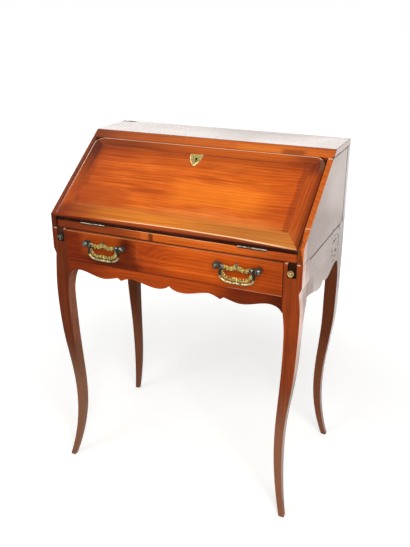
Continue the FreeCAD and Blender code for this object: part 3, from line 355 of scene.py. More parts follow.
# Levels where a measure starts to count and counts in full
PORE_STEP = (0.6, 0.74)
STREAK_STEP = (0.5, 0.74)
RING_RISE = (0.15, 0.85)
RING_FALL = (1.0, 0.88)
RUB_STEP = (0.42, 0.66)
EDGE_STEP = (0.02, 0.25)
CORNER_SHADE_STEP = (0.8, 0.35)
MATT_STEP = (0.05, 0.02)
MOTTLE_STEP = (0.3, 0.7)
# Year rings per metre, and how many of them the grain wanders across
RINGS_ACROSS = 110.0
RINGS_THROUGH = 44.0
RING_WANDER = 7.2
# How dark a board is without its figure, and what rings and streaks add
BASE_DARKNESS = 0.3
RING_WEIGHT = 0.2
RING_MEAN = 0.35
STREAK_WEIGHT = 0.25
MIDDLE_STOP = 0.42
PORE_STRENGTH = 0.35
CORNER_SHADE_STRENGTH = 0.85
# Reach of the edge wear and highlight and of the painted shade in corners, and depth of the grain and of
# the swell in the polish
EDGE_REACH = 1.6 * MILLIMETRE
CORNER_SHADE_REACH = 10 * MILLIMETRE
FIBRE_HEIGHT = 0.0385 * MILLIMETRE
PORE_HEIGHT = -0.055 * MILLIMETRE
SWELL_HEIGHT = 0.6 * MILLIMETRE
# What mottle, pores and dark marks add to the roughness of the polish
MOTTLE_ROUGHNESS = 0.1
PORE_ROUGHNESS = 0.1
MATT_ROUGHNESS = 0.5
# Share of a board's seed that moves its noises across the grain, and of a patch that has its full strength
SEED_ACROSS = 0.7
PATCH_CORE = 0.5


class Board:
    """Coordinates of a plank in metres (u along its grain, v across the face that shows, w through it), and
    the noises that its colour and its polish share."""

    def __init__(self, g, cut, seed):
        along, across = (Vector(axis) for axis in cut)
        self.u, self.v, self.w = (g.dot(g.coords, axis) for axis in (along, across, along.cross(across)))
        self.place = g.combine(g.total(self.u, seed), g.total(self.v, seed * SEED_ACROSS), self.w)
        self.fibre = g.noise(self.place, FIBRE_LUMPS, detail=4.0, roughness=0.65)
        self.pores = g.between(g.noise(self.place, PORE_LUMPS, detail=1.0), *PORE_STEP)
        self.mottle = g.noise(self.place, MOTTLE_LUMPS, detail=3.0)


def around(g, value, weight, centre=0.5):
    """Swing of a value about its centre, times its weight."""
    return g.times(g.minus(value, centre), weight)


def late_wood(g, board, eyes):
    """Dark end of each year's ring. Eyes swell the rings: (along, across, half length, half width, by)."""
    drift = around(g, g.noise(board.place, DRIFT_LUMPS, detail=3.0), RING_WANDER)
    phase = g.total(g.times(board.v, RINGS_ACROSS), g.times(board.w, RINGS_THROUGH), drift)
    for middle_u, middle_v, half_u, half_v, swell in eyes:
        du = g.calc("DIVIDE", g.minus(board.u, middle_u), half_u)
        dv = g.calc("DIVIDE", g.minus(board.v, middle_v), half_v)
        reach = g.total(g.times(du, du), g.times(dv, dv))
        hump = g.calc("POWER", math.e, g.times(reach, -1.0))
        phase = g.total(phase, g.times(hump, swell))
    saw = g.calc("FRACT", phase)
    return g.times(g.between(saw, *RING_RISE), g.between(saw, *RING_FALL))


def figured(g, board, tone, figure, eyes):
    """Colour of the grain. Figure is how much its fibres, bands, broad mottle and clouds show."""
    light, middle, dark, _ = TONES[tone]
    bands = g.noise(board.place, BAND_LUMPS, detail=3.0, roughness=0.6)
    clouds = g.noise(board.place, CLOUD_LUMPS)
    streaks = g.between(g.noise(board.place, STREAK_LUMPS, detail=3.0), *STREAK_STEP)
    rings = around(g, late_wood(g, board, eyes), RING_WEIGHT, RING_MEAN)
    darkness = g.total(BASE_DARKNESS, rings, g.times(streaks, STREAK_WEIGHT))
    for pattern, weight in zip((board.fibre, bands, board.mottle, clouds), figure):
        darkness = g.total(darkness, around(g, pattern, weight))
    return g.ramp(darkness, (0.0, light), (MIDDLE_STOP, middle), (1.0, dark))


def stained(g, board, colour, zones, patches):
    """Zones shade a board from one level to another: (measure, low, high, raggedness, colour).
    Patches colour a spot: ([(measure, middle, half width), ...], raggedness, strength, colour)."""
    cloud = g.minus(g.noise(board.place, STAIN_LUMPS, detail=3.0), 0.5)

    def ragged(measure, raggedness):
        return g.total(measure(g), g.times(cloud, raggedness))

    for measure, low, high, raggedness, shade in zones:
        colour = g.mix(g.between(ragged(measure, raggedness), low, high), colour, shade, "MULTIPLY")
    for bounds, raggedness, strength, shade in patches:
        amount = strength
        for measure, middle, half in bounds:
            off = g.calc("ABSOLUTE", g.minus(ragged(measure, raggedness), middle))
            amount = g.times(amount, g.between(off, half, half * PATCH_CORE))
        colour = g.mix(amount, colour, shade)
    return colour


def weathered(g, board, colour, tone, edge_wear_and_highlight):
    """Colour with dark pores, edges turned to their edge tone for wear and painted highlight, and painted
    shade in corners and seams.
    """
    _, _, dark, edge_tone = TONES[tone]
    colour = g.mix(g.times(board.pores, PORE_STRENGTH), colour, dark)
    # Edges turned towards the edge tone: partly wear, partly painted highlight on rounded arrises
    rub = g.between(g.noise(board.place, RUB_LUMPS, detail=3.0), *RUB_STEP)
    worn_and_lit_edges = g.times(g.between(g.edges(EDGE_REACH), *EDGE_STEP), rub)
    colour = g.mix(g.times(worn_and_lit_edges, edge_wear_and_highlight), colour, edge_tone)
    # Darkening where the occlusion mask falls, in corners and seams: painted shade
    corner_shade = g.between(g.open_air(CORNER_SHADE_REACH), *CORNER_SHADE_STEP)
    return g.mix(g.times(corner_shade, CORNER_SHADE_STRENGTH), colour, GRIME_AND_SHADE)


def wood(
    name, cut, tone, seed, figure=(0.7, 0.9, 0.4, 0.0), eyes=(), zones=(), patches=(), gloss=0.24,
    shine=0.3, relief=1.0, edge_wear_and_highlight=0.5,
):
    """Polished board. Its dark marks are matt, so that they show where the polish shines."""
    g = new_graph(name)
    board = Board(g, cut, seed)
    colour = stained(g, board, figured(g, board, tone, figure, eyes), zones, patches)
    colour = weathered(g, board, colour, tone, edge_wear_and_highlight)
    redness = g.dot(colour, (1, 0, 0))
    swell = g.noise(board.place, SWELL_LUMPS, detail=1.0)
    height = g.total(
        g.times(board.fibre, FIBRE_HEIGHT), g.times(board.pores, PORE_HEIGHT), g.times(swell, SWELL_HEIGHT),
    )
    roughness = g.total(
        g.between(board.mottle, *MOTTLE_STEP, gloss, gloss + MOTTLE_ROUGHNESS),
        g.times(board.pores, PORE_ROUGHNESS),
        g.times(g.between(redness, *MATT_STEP), MATT_ROUGHNESS),
    )
    return g.finish({
        "Base Color": colour,
        "Roughness": roughness,
        "Specular IOR Level": shine,
        "Specular Tint": POLISH_TINT,
        "Normal": g.bump(height, relief),
    })


# Cast metal: levels where blotches, hollows, lower faces with painted shade, and edges start to count and
# count in full
BLOTCH_STEP = (0.72, 0.88)
HOLLOW_STEP = (0.85, 0.4)
BELOW_STEP = (0.0, -0.6)
RUBBED_STEP = (0.03, 0.3)
BELOW_SHADE = 0.9
RUBBED_STRENGTH = 0.6
HOLLOW_REACH = 3 * MILLIMETRE
RUBBED_REACH = 0.6 * MILLIMETRE
CAST_ROUNDING = 0.5 * MILLIMETRE
CAST_RELIEF = 0.25 * MILLIMETRE
FINE_LUMPS = 6
TARNISH_METALLIC = 0.55
TARNISH_ROUGHNESS = 0.2
FINE_ROUGHNESS = 0.08


def metal(name, bright, tarnish, lumps, share, roughness, dull=()):
    """Cast metal with its tarnish in blotches and hollows, and painted shade in the tarnish colour on its
    lower faces. Share is how much of it is tarnished.
    Darkened parts take the tarnish colour from one level to another: (measure, low, high)."""
    g = new_graph(name)
    blotch = g.noise(g.coords, (lumps,) * 3, detail=4.0, roughness=0.6)
    fine = g.noise(g.coords, (lumps * FINE_LUMPS,) * 3)
    amount = g.between(blotch, *(edge - share / 2 for edge in BLOTCH_STEP))
    amount = g.larger(amount, g.between(g.open_air(HOLLOW_REACH), *HOLLOW_STEP))
    amount = g.larger(amount, g.between(facing_up(g), *BELOW_STEP, 0.0, BELOW_SHADE))
    for measure, low, high in dull:
        amount = g.larger(amount, g.between(measure(g), low, high))
    rubbed = g.between(g.edges(RUBBED_REACH), *RUBBED_STEP, 0.0, RUBBED_STRENGTH)
    rough = g.between(amount, 0.0, 1.0, roughness, roughness + TARNISH_ROUGHNESS)
    return g.finish({
        "Base Color": g.mix(rubbed, g.mix(amount, bright, tarnish), bright),
        "Metallic": g.between(amount, 0.0, 1.0, 1.0, TARNISH_METALLIC),
        "Roughness": g.total(rough, g.times(fine, FINE_ROUGHNESS)),
        "Normal": g.bump(g.total(fine, blotch), CAST_RELIEF, g.rounded_normal(CAST_ROUNDING)),
    })


# Shading and marks of single boards, as stained takes them, in metres
DARK_STREAK = rgb(0.3, 0.044, 0.008)
RED_SHADE = rgb(0.36, 0.05, 0.008)
LEDGE_HIGHLIGHT = rgb(0.95, 0.55, 0.38)
# The fall: its field, its rim and lip, and the bands round the field
FIELD_ZONES = [
    (X, -0.16, -0.3, 0.06, rgb(0.74, 0.64, 0.85)),
    (X, 0.2, 0.3, 0.05, rgb(0.82, 0.72, 0.85)),
    (UP_FALL, 0.47, 0.548, 0.05, rgb(0.66, 0.62, 0.8)),
    (X, -0.283, -0.297, 0.04, rgb(0.72, 0.66, 0.8)),
    (UP_FALL, 0.526, 0.538, 0.03, rgb(0.8, 0.76, 0.9)),
    (UP_FALL, 0.352, 0.338, 0.03, rgb(0.88, 1.15, 1.7)),
]
FIELD_MARKS = [
    ([(X, -0.105, 0.07), (UP_FALL, 0.402, 0.009)], 0.012, 0.45, DARK_STREAK),
    ([(X, 0.12, 0.22), (UP_FALL, 0.387, 0.004)], 0.014, 0.5, DARK_STREAK),
    ([(X, 0.16, 0.12), (UP_FALL, 0.376, 0.003)], 0.014, 0.4, DARK_STREAK),
    ([(X, -0.12, 0.16), (UP_FALL, 0.442, 0.0035)], 0.014, 0.4, DARK_STREAK),
    ([(X, 0.08, 0.14), (UP_FALL, 0.463, 0.003)], 0.014, 0.35, DARK_STREAK),
    ([(X, 0.24, 0.1), (UP_FALL, 0.37, 0.035)], 0.03, 0.3, RED_SHADE),
    ([(X, -0.23, 0.12), (UP_FALL, 0.365, 0.04)], 0.03, 0.5, RED_SHADE),
    ([(X, 0.293, 0.012)], 0.014, 0.5, rgb(0.2, 0.03, 0.007)),
    ([(X, 0.09, 0.17), (UP_FALL, 0.412, 0.05)], 0.05, 0.4, rgb(1.0, 0.26, 0.018)),
    ([(X, 0.1, 0.2), (UP_FALL, 0.345, 0.022)], 0.03, 0.3, rgb(0.8, 0.26, 0.06)),
    # Near black behind the keyhole: painted shade inside the hole
    ([(X, KEYHOLE[0], 0.006), (UP_FALL, KEYHOLE[1] - 0.005, 0.014)], 0.0, 1.0, rgb(0.004, 0.003, 0.002)),
]
FIELD_EYES = [(-0.1, 0.404, 0.09, 0.014, 1.6), (0.16, 0.46, 0.14, 0.02, 1.4)]
# Pale line along the fall's rounded top and left rim: painted highlight
RIM_HIGHLIGHT = ([(in_from_rim, 0.0022, 0.003), (UP_FALL, FALL_HEAD, 0.24)], 0.0, 0.8, rgb(0.95, 0.55, 0.36))
# Painted shade along the fall's right rim and in its upper right corner
RIM_SHADES = [
    ([(in_from_rim, 0.0105, 0.0035)], 0.002, 0.35, rgb(0.1, 0.018, 0.007)),
    ([(in_from_rim, 0.002, 0.0075)], 0.002, 0.75, rgb(0.15, 0.02, 0.005)),
    ([(in_from_rim, 0.003, 0.01), (UP_FALL, FALL_HEAD, 0.06)], 0.002, 0.6, rgb(0.16, 0.085, 0.05)),
]
# Pale line along the fall's lower lip: painted highlight
LIP_HIGHLIGHT = (
    [(along_lip, FALL_LIP, 0.002), (X, 0.08, 0.3), (under_face, 0.0, 0.007)],
    0.002, 0.7, rgb(1.0, 0.7, 0.4),
)
# The lip darker below that line, and the fall's end darker with depth under its face: painted shade
LIP_SHADE = (along_lip, FALL_LIP, FALL_LIP - 0.002, 0.0, rgb(0.5, 0.3, 0.55))
FALL_END_SHADE = (under_face, 0.003, 0.0085, 0.0, rgb(0.1, 0.08, 0.2))
TOP_BAND_ZONES = [
    (X, 0.0, -0.22, 0.1, rgb(0.5, 0.47, 0.78)),
    (X, 0.22, 0.31, 0.04, rgb(0.5, 0.42, 0.8)),
    (UP_FALL, 0.54, 0.556, 0.02, rgb(1.16, 1.3, 1.0)),
]
LEFT_BAND_ZONES = [
    (UP_FALL, 0.36, 0.38, 0.05, rgb(0.86, 0.84, 0.95)),
    (UP_FALL, 0.4, 0.53, 0.05, rgb(0.28, 0.27, 0.7)),
    (UP_FALL, FALL_FOOT + 0.06, FALL_FOOT + 0.02, 0.03, rgb(0.5, 0.5, 1.0)),
    FALL_END_SHADE,
]
RIGHT_BAND_ZONES = [
    (UP_FALL, 0.49, 0.54, 0.04, rgb(0.42, 0.36, 0.8)),
    (UP_FALL, 0.36, 0.32, 0.04, rgb(1.1, 1.35, 1.7)),
    FALL_END_SHADE,
]
BOTTOM_BAND_ZONES = [
    (X, -0.05, -0.33, 0.1, rgb(0.64, 0.55, 0.6)),
    (X, -0.17, -0.28, 0.05, rgb(0.72, 0.52, 0.75)),
    (X, -0.27, -0.32, 0.04, rgb(0.68, 0.55, 1.0)),
    (X, -0.05, 0.2, 0.06, rgb(0.72, 0.78, 1.2)),
    LIP_SHADE,
    FALL_END_SHADE,
]
# The drawer, whose shade leans to one side, the apron, and the rail with its repair
LEANING = level((1, 0, 0.259))
DRAWER_ZONES = [
    (LEANING, 0.108, 0.064, 0.03, rgb(0.34, 0.29, 0.55)),
    (X, 0.04, -0.06, 0.05, rgb(0.7, 0.6, 0.85)),
    (X, 0.19, 0.29, 0.05, rgb(0.6, 0.56, 0.8)),
    (X, -0.2, -0.27, 0.05, rgb(1.4, 1.25, 0.9)),
]
DRAWER_MARKS = [
    ([(X, -0.195, 0.075), (Z, 0.7, 0.046)], 0.03, 0.5, rgb(0.62, 0.1, 0.008)),
    ([(Z, 0.69, 0.03), (X, -0.088, 0.006)], 0.01, 0.15, rgb(0.6, 0.15, 0.04)),
    # Along the drawer's lower edge a dark line, painted shade in the gap to the apron, and a pale line at
    # the right; along its upper edge a pale line. Both pale lines are painted highlights
    ([(Z, DRAWER_FOOT + 0.0008, 0.0016), (X, -0.1, 0.3)], 0.004, 0.7, rgb(0.1, 0.016, 0.006)),
    ([(Z, DRAWER_FOOT + 0.0008, 0.0016), (X, 0.24, 0.1)], 0.004, 0.45, rgb(0.62, 0.3, 0.2)),
    ([(Z, DRAWER_HEAD - 0.0007, 0.0016), (X, -0.2, 0.6)], 0.0015, 0.5, rgb(0.7, 0.26, 0.1)),
]
APRON_ZONES = [
    (X, 0.08, 0.2, 0.1, rgb(0.36, 0.32, 0.7)),
    # Darker right end: painted shade at the corner
    (X, 0.25, 0.3, 0.03, rgb(0.5, 0.5, 0.8)),
    (X, -0.14, -0.26, 0.1, rgb(0.48, 0.4, 0.6)),
]
RAIL_ZONES = [
    (X, -0.02, -0.18, 0.1, rgb(0.42, 0.36, 0.7)),
    (X, -0.2, -0.3, 0.05, rgb(0.7, 0.66, 0.9)),
    (X, 0.2, 0.3, 0.06, rgb(0.6, 0.5, 0.75)),
]
RAIL_MARKS = [
    ([(X, -0.0708, 0.0125)], 0.0, 0.3, rgb(0.7, 0.18, 0.04)),
    ([(X, -0.0515, 0.008)], 0.0, 0.75, rgb(0.06, 0.014, 0.007)),
    # Pale top edge: painted highlight
    ([(Z, RAIL_HEAD - 0.0003, 0.0016), (X, 0.0, 0.2)], 0.003, 0.6, rgb(1.0, 0.55, 0.26)),
]
# The legs, duller towards their feet, and the front ones with painted highlights on the ledges at their
# tops
LOWER_LEG = (Z, 0.56, 0.3, 0.1, rgb(0.75, 0.82, 1.0))
# Faces of the left leg turned to the right, towards the light, painted lighter
LEFT_LEG_ZONES = [LOWER_LEG, (facing_right, 0.3, 0.8, 0.0, rgb(1.6, 2.5, 2.5))]
# Right faces of the right legs greyed: painted glare
GLARED_SIDE = (right_side, 0.8, 0.95, 0.0, rgb(0.6, 0.72, 0.9))
RIGHT_LEG_ZONES = [LOWER_LEG, GLARED_SIDE]
FOOT_MARKS = [([(Z, 0.0, 0.42)], 0.06, 0.7, rgb(0.27, 0.125, 0.07))]
REAR_FOOT_MARKS = [([(Z, 0.0, 0.4)], 0.06, 0.6, rgb(0.2, 0.072, 0.036))]
# Pale spots on the ledges at the tops of the front legs: painted highlights
LEG_TOP_HIGHLIGHTS = [
    ([(off_middle, 0.337, 0.009), (Z, LEG_HEAD - 0.0012, 0.0022)], 0.003, 0.6, LEDGE_HIGHLIGHT),
    ([(off_middle, 0.312, 0.007), (Z, LEG_HEAD - 0.0012, 0.0022)], 0.003, 0.55, LEDGE_HIGHLIGHT),
]
# The sides, with painted glare on their right faces, painted highlights on their arrises, painted shadow
# along their seams, and scuffs
# Right faces of the case and top greyed and blued: painted glare
GLARED_CASE_SIDE = (right_side, 0.8, 0.95, 0.0, rgb(0.17, 0.38, 1.2))
# Pale line on the rounded right arrises: painted highlight
ARRIS_HIGHLIGHT = ([(right_side, 0.7, 0.32)], 0.0, 0.6, rgb(0.8, 0.45, 0.32))
JOINT_LINE = (
    [(Z, 0.798, 0.0012), (X, HALF_WIDTH, 0.05), (facing_right, 0.0, 0.4)], 0.002, 0.55, rgb(0.95, 0.6, 0.4),
)
POST_LINE = ([(Y, 0.188, 0.0085), (X, HALF_WIDTH, 0.006)], 0.006, 0.96, GRIME_AND_SHADE)
# Upper right face of the rear right leg painted grey: painted glare
POST_GLARE = ([(Z, 0.95, 0.36), (right_side, 1.0, 0.3)], 0.0, 0.85, rgb(0.34, 0.35, 0.36))
# Pale pink on the right face of the front post: painted reflection
CORNER_REFLECTION = (
    [(Y, -0.187, 0.03), (X, HALF_WIDTH, 0.012), (right_side, 1.0, 0.5)], 0.0, 0.55, rgb(0.75, 0.4, 0.27),
)
# Dark lines along the side panel's lower and upper seams: painted shadow under the overhang and in the gap
SEAM_SHADOW = ([(Z, SIDE_FOOT, 0.003), (Y, 0.02, 0.3), (right_side, 1.0, 0.9)], 0.004, 1.0, GRIME_AND_SHADE)
TOP_SEAM_SHADOW = ([(Z, SIDE_HEAD, 0.0036), (X, HALF_WIDTH, 0.006)], 0.006, 1.0, GRIME_AND_SHADE)
RIGHT_LEG_MARKS = FOOT_MARKS + LEG_TOP_HIGHLIGHTS + [CORNER_REFLECTION]
SIDE_MARKS = [
    POST_LINE,
    CORNER_REFLECTION,
    ARRIS_HIGHLIGHT,
    JOINT_LINE,
    SEAM_SHADOW,
    TOP_SEAM_SHADOW,
    ([(Z, SIDE_HEAD - 0.0009, 0.0018), (X, 0.3425, 0.0085)], 0.001, 0.6, rgb(0.95, 0.62, 0.4)),
    ([(Y, 0.13, 0.08), (Z, 0.68, 0.075), (scuffs, 0.67, 0.14)], 0.0, 0.95, rgb(0.02, 0.012, 0.01)),
    # Dark line beside the fall's left edge: painted shade in the gap
    ([(X, -0.336, 0.004), (UP_FALL, FALL_HEAD, 0.18)], 0.002, 0.7, GRIME_AND_SHADE),
    ([(Y, 0.05, 0.25), (scuffs, 0.74, 0.12)], 0.0, 0.4, rgb(0.04, 0.026, 0.02)),
]
SIDE_ZONES = [
    (front_level, 0.765, 0.76, 0.0, rgb(0.33, 0.3, 0.55)),
    GLARED_CASE_SIDE,
    (X, 0.0014 - HALF_WIDTH, 0.0004 - HALF_WIDTH, 0.0, rgb(0.4, 0.5, 1.0)),
    (X, 0.0, -0.3, 0.0, rgb(0.38, 0.33, 0.7)),
]
# The lopers and the top
LOPER_ZONES = [(X, 0.0, -0.3, 0.0, rgb(2.4, 2.0, 1.8))]
TOP_ZONES = [
    (across_bevel, 0.05, -0.25, 0.15, rgb(0.66, 0.64, 0.95)),
    (across_bevel, -0.24, -0.33, 0.05, rgb(0.6, 0.56, 0.8)),
    # The flat top greyed and blued: painted glare
    (Z, TOP_LEVEL - 0.0012, TOP_LEVEL - 0.0002, 0.0, rgb(0.14, 0.4, 1.6)),
    GLARED_CASE_SIDE,
]
TOP_MARKS = [
    TOP_SEAM_SHADOW,
    ([(X, -HALF_WIDTH, 0.07), (Y, BACK, 0.035), (Z, TOP_LEVEL, 0.002)], 0.06, 0.8, GRIME_AND_SHADE),
    # Dark line on the top's bevel above the fall: painted shadow of the gap
    ([(X, 0.245, 0.04), (Z, 0.931, 0.009)], 0.012, 0.7, rgb(0.2, 0.04, 0.01)),
    ([(X, 0.15, 0.08), (Z, 0.934, 0.007)], 0.012, 0.25, rgb(0.95, 0.3, 0.03)),
]

# Recipes of the materials, and the CAD nodes that each is for
WOODS = {
    "wood_field": dict(
        cut=ACROSS_FALL, tone="field", seed=1.3, zones=FIELD_ZONES, patches=FIELD_MARKS, eyes=FIELD_EYES,
        figure=(0.5, 0.7, 0.5, 0.5),
    ),
    "wood_band_top": dict(
        cut=ACROSS_FALL, tone="red_band", seed=2.1, zones=TOP_BAND_ZONES, patches=[RIM_HIGHLIGHT], gloss=0.18,
    ),
    "wood_band_left": dict(
        cut=ALONG_FALL, tone="red_band", seed=3.7, zones=LEFT_BAND_ZONES, patches=[RIM_HIGHLIGHT], gloss=0.18,
    ),
    "wood_band_right": dict(
        cut=ALONG_FALL, tone="red_band", seed=3.1, zones=RIGHT_BAND_ZONES, patches=RIM_SHADES, gloss=0.18,
    ),
    "wood_band_bottom": dict(
        cut=ACROSS_FALL, tone="gold_band", seed=4.4, zones=BOTTOM_BAND_ZONES, patches=[LIP_HIGHLIGHT],
        gloss=0.18,
    ),
    "wood_drawer": dict(
        cut=ACROSS_FRONT, tone="drawer", seed=5.2, zones=DRAWER_ZONES, patches=DRAWER_MARKS,
        eyes=[(-0.07, 0.68, 0.05, 0.03, 3.5)], figure=(0.9, 1.2, 0.4, 0.3),
    ),
    "wood_apron": dict(
        cut=ACROSS_FRONT, tone="apron", seed=6.9, zones=APRON_ZONES, figure=(1.0, 1.5, 0.5, 0.4),
    ),
    "wood_rail": dict(cut=ACROSS_FRONT, tone="rail", seed=7.5, zones=RAIL_ZONES, patches=RAIL_MARKS),
    "wood_leg_left": dict(
        cut=UPRIGHT, tone="left_leg", seed=8.3, zones=LEFT_LEG_ZONES, patches=FOOT_MARKS + LEG_TOP_HIGHLIGHTS,
        figure=(1.0, 1.4, 0.5, 0.4),
    ),
    "wood_leg_right": dict(
        cut=UPRIGHT, tone="right_leg", seed=9.6, zones=RIGHT_LEG_ZONES, patches=RIGHT_LEG_MARKS, shine=0.4,
        figure=(1.0, 1.4, 0.5, 0.4),
    ),
    "wood_rear_leg_left": dict(
        cut=UPRIGHT, tone="rear_leg", seed=10.2, patches=REAR_FOOT_MARKS, shine=0.12, edge_wear_and_highlight=1.0,
    ),
    "wood_rear_leg_right": dict(
        cut=UPRIGHT, tone="rear_leg", seed=17.4, zones=[GLARED_SIDE], patches=REAR_FOOT_MARKS + [POST_GLARE],
        shine=0.28, edge_wear_and_highlight=0.4,
    ),
    "wood_loper": dict(cut=ALONG_SIDE, tone="loper", seed=16.3, zones=LOPER_ZONES, gloss=0.4),
    "wood_top": dict(
        cut=ACROSS_TOP, tone="case", seed=11.8, zones=TOP_ZONES, patches=TOP_MARKS, shine=0.5, relief=0.5,
        figure=(0.7, 1.3, 0.6, 0.5), edge_wear_and_highlight=0.2,
    ),
    "wood_side": dict(
        cut=ALONG_SIDE, tone="case", seed=12.4, zones=SIDE_ZONES, patches=SIDE_MARKS, shine=0.5,
        edge_wear_and_highlight=0.15,
    ),
    "wood_inner": dict(cut=ACROSS_TOP, tone="inner", seed=13.1, gloss=0.5),
    "wood_inner_side": dict(cut=ALONG_SIDE, tone="inner", seed=14.7, gloss=0.5),
    "wood_inner_front": dict(cut=ACROSS_FRONT, tone="inner", seed=15.9, gloss=0.5),
}
METALS = {
    "aged_brass": dict(
        bright=rgb(0.95, 0.7, 0.2), tarnish=rgb(0.03, 0.03, 0.008), lumps=420.0, share=0.56, roughness=0.3,
    ),
    "shield_brass": dict(
        bright=rgb(0.68, 0.55, 0.17), tarnish=rgb(0.31, 0.24, 0.07), lumps=160.0, share=0.5, roughness=0.36,
    ),
    "rubbed_brass": dict(
        bright=rgb(0.86, 0.62, 0.32), tarnish=rgb(0.42, 0.28, 0.11), lumps=160.0, share=0.45,
        roughness=0.34,
    ),
    "bail_brass": dict(
        bright=rgb(0.84, 0.69, 0.37), tarnish=rgb(0.026, 0.022, 0.012), lumps=220.0, share=0.45,
        roughness=0.22, dull=[(Z, BEAD_LEVEL - 0.032, BEAD_LEVEL - 0.02)],
    ),
    "dark_bronze": dict(
        bright=rgb(0.29, 0.27, 0.21), tarnish=rgb(0.017, 0.019, 0.017), lumps=200.0, share=0.62,
        roughness=0.24,
    ),
    "knob_brass": dict(
        bright=rgb(0.74, 0.48, 0.2), tarnish=rgb(0.08, 0.045, 0.015), lumps=220.0, share=0.45,
        roughness=0.4,
    ),
    "grey_steel": dict(
        bright=rgb(0.58, 0.5, 0.4), tarnish=rgb(0.05, 0.036, 0.028), lumps=95.0, share=0.48, roughness=0.36,
        # Faces turned away from the top darkened: painted shade
        dull=[(facing_up, 0.4, 0.1)],
    ),
}
DRESS = {
    "wood_field": ["fall_panel"],
    "wood_band_top": ["fall_rail_top"],
    "wood_band_left": ["fall_stile_left"],
    "wood_band_right": ["fall_stile_right"],
    "wood_band_bottom": ["fall_rail_bottom"],
    "wood_drawer": ["drawer_front"],
    "wood_apron": ["front_apron"],
    "wood_rail": ["front_rail"],
    "wood_leg_left": ["front_leg_left"],
    "wood_leg_right": ["front_leg_right"],
    "wood_rear_leg_left": ["rear_leg_left"],
    "wood_rear_leg_right": ["rear_leg_right"],
    "wood_loper": ["loper_left", "loper_right"],
    "wood_top": ["top_board", "lock_rail", "fall_stop_left", "fall_stop_right"],
    "wood_side": ["side_panel_left", "side_panel_right", "side_apron_left", "side_apron_right"],
    "wood_inner": ["writing_bed", "drawer_bottom", "small_drawer_bottom", "interior_shelf"],
    "wood_inner_side": [
        "drawer_runner_left", "drawer_runner_right", "loper_guide_left", "loper_guide_right",
        "drawer_side_left", "drawer_side_right", "interior_divider_left", "interior_divider_right",
        "small_drawer_side_left", "small_drawer_side_right",
    ],
    "wood_inner_front": [
        "back_panel", "back_apron", "drawer_back", "small_drawer_front", "small_drawer_back",
    ],
    "aged_brass": ["small_drawer_knob"],
    "knob_brass": ["loper_knob_right"],
    "shield_brass": ["escutcheon"],
    "dark_bronze": [
        "handle_posts_left", "handle_posts_right", "drop_handle_left", "drop_handle_right",
        "loper_knob_left",
    ],
    "grey_steel": [
        "hinge_leaf_rail_left", "hinge_leaf_rail_right", "hinge_leaf_fall_left", "hinge_leaf_fall_right",
        "hinge_pins", "hinge_screws_rail", "hinge_screws_fall", "lock_case", "lock_bolt", "handle_nuts",
    ],
}


def dress():
    """Gives each CAD node its material, and returns the materials by name."""
    made = {name: wood(name, **recipe) for name, recipe in WOODS.items()}
    made.update({name: metal(name, **recipe) for name, recipe in METALS.items()})
    for material, nodes in DRESS.items():
        for node in nodes:
            slots = frame["nodes"][node].data.materials
            slots.clear()
            slots.append(made[material])
    return made


# Softened arrises: widths in millimetres by the start of the node's name, and how they are made
ARRIS = {
    "front_leg": 2.2, "rear_leg": 2.2, "side_panel": 1.3, "side_apron": 1.2, "front_apron": 1.2,
    "top_board": 1.5, "drawer_front": 1.4, "front_rail": 0.8, "fall_rail_bottom": 1.4, "escutcheon": 1.1,
    "drawer_side": 0.8, "back_apron": 1.0, "loper_left": 0.8, "loper_right": 0.8, "small_drawer_front": 1.0,
    "interior": 0.8,
}
ARRIS_SEGMENTS = 2
ARRIS_ANGLE = math.radians(35)
FLAT_ANGLE = math.radians(0.2)
WELD_REACH = 0.01 * MILLIMETRE


def soften(node, width):
    """Rounds the arrises of a CAD node, after joining the triangles of its flat faces."""
    item = frame["nodes"][node]
    weld = item.modifiers.new("weld", "WELD")
    weld.merge_threshold = WELD_REACH
    flat = item.modifiers.new("flat_faces", "DECIMATE")
    flat.decimate_type = "DISSOLVE"
    flat.angle_limit = FLAT_ANGLE
    bevel = item.modifiers.new("arris", "BEVEL")
    bevel.width = width
    bevel.segments = ARRIS_SEGMENTS
    bevel.limit_method = "ANGLE"
    bevel.angle_limit = ARRIS_ANGLE
    bevel.use_clamp_overlap = True
    item.modifiers.new("shading", "WEIGHTED_NORMAL").keep_sharp = False


def soften_all():
    for node in frame["nodes"]:
        widths = [width for start, width in ARRIS.items() if node.startswith(start)]
        if widths:
            soften(node, widths[0] * MILLIMETRE)


# The photograph's view, in metres, radians and millimetres of lens and sensor
CAMERA_PLACE = Vector((0.738, -1.6036, 1.3082))
CAMERA_AIM = Vector((-0.37889, 0.84218, -0.38364))
CAMERA_ROLL = math.radians(-0.157)
FOCAL_LENGTH = 44.62
SENSOR = 36.0


def link(name, data):
    """Object with some data, put in the scene."""
    item = bpy.data.objects.new(name, data)
    bpy.context.scene.collection.objects.link(item)
    return item


def camera():
    data = bpy.data.cameras.new("camera")
    data.lens = FOCAL_LENGTH
    data.sensor_width = SENSOR
    item = link("camera", data)
    turn = CAMERA_AIM.to_track_quat("-Z", "Y").to_matrix().to_4x4() @ Matrix.Rotation(CAMERA_ROLL, 4, "Z")
    item.matrix_world = Matrix.Translation(CAMERA_PLACE) @ turn
    bpy.context.scene.camera = item


def lamp(name, place, target, size, power):
    data = bpy.data.lights.new(name, "AREA")
    data.shape = "RECTANGLE"
    data.size, data.size_y = size
    data.energy = power
    item = link(name, data)
    item.location = place
    item.rotation_mode = "QUATERNION"
    item.rotation_quaternion = (Vector(target) - Vector(place)).to_track_quat("-Z", "Y")
    item.visible_camera = False
    return item


def window(name, place, target, size, power):
    """Lamp that shows in gloss only."""
    lamp(name, place, target, size, power).visible_diffuse = False


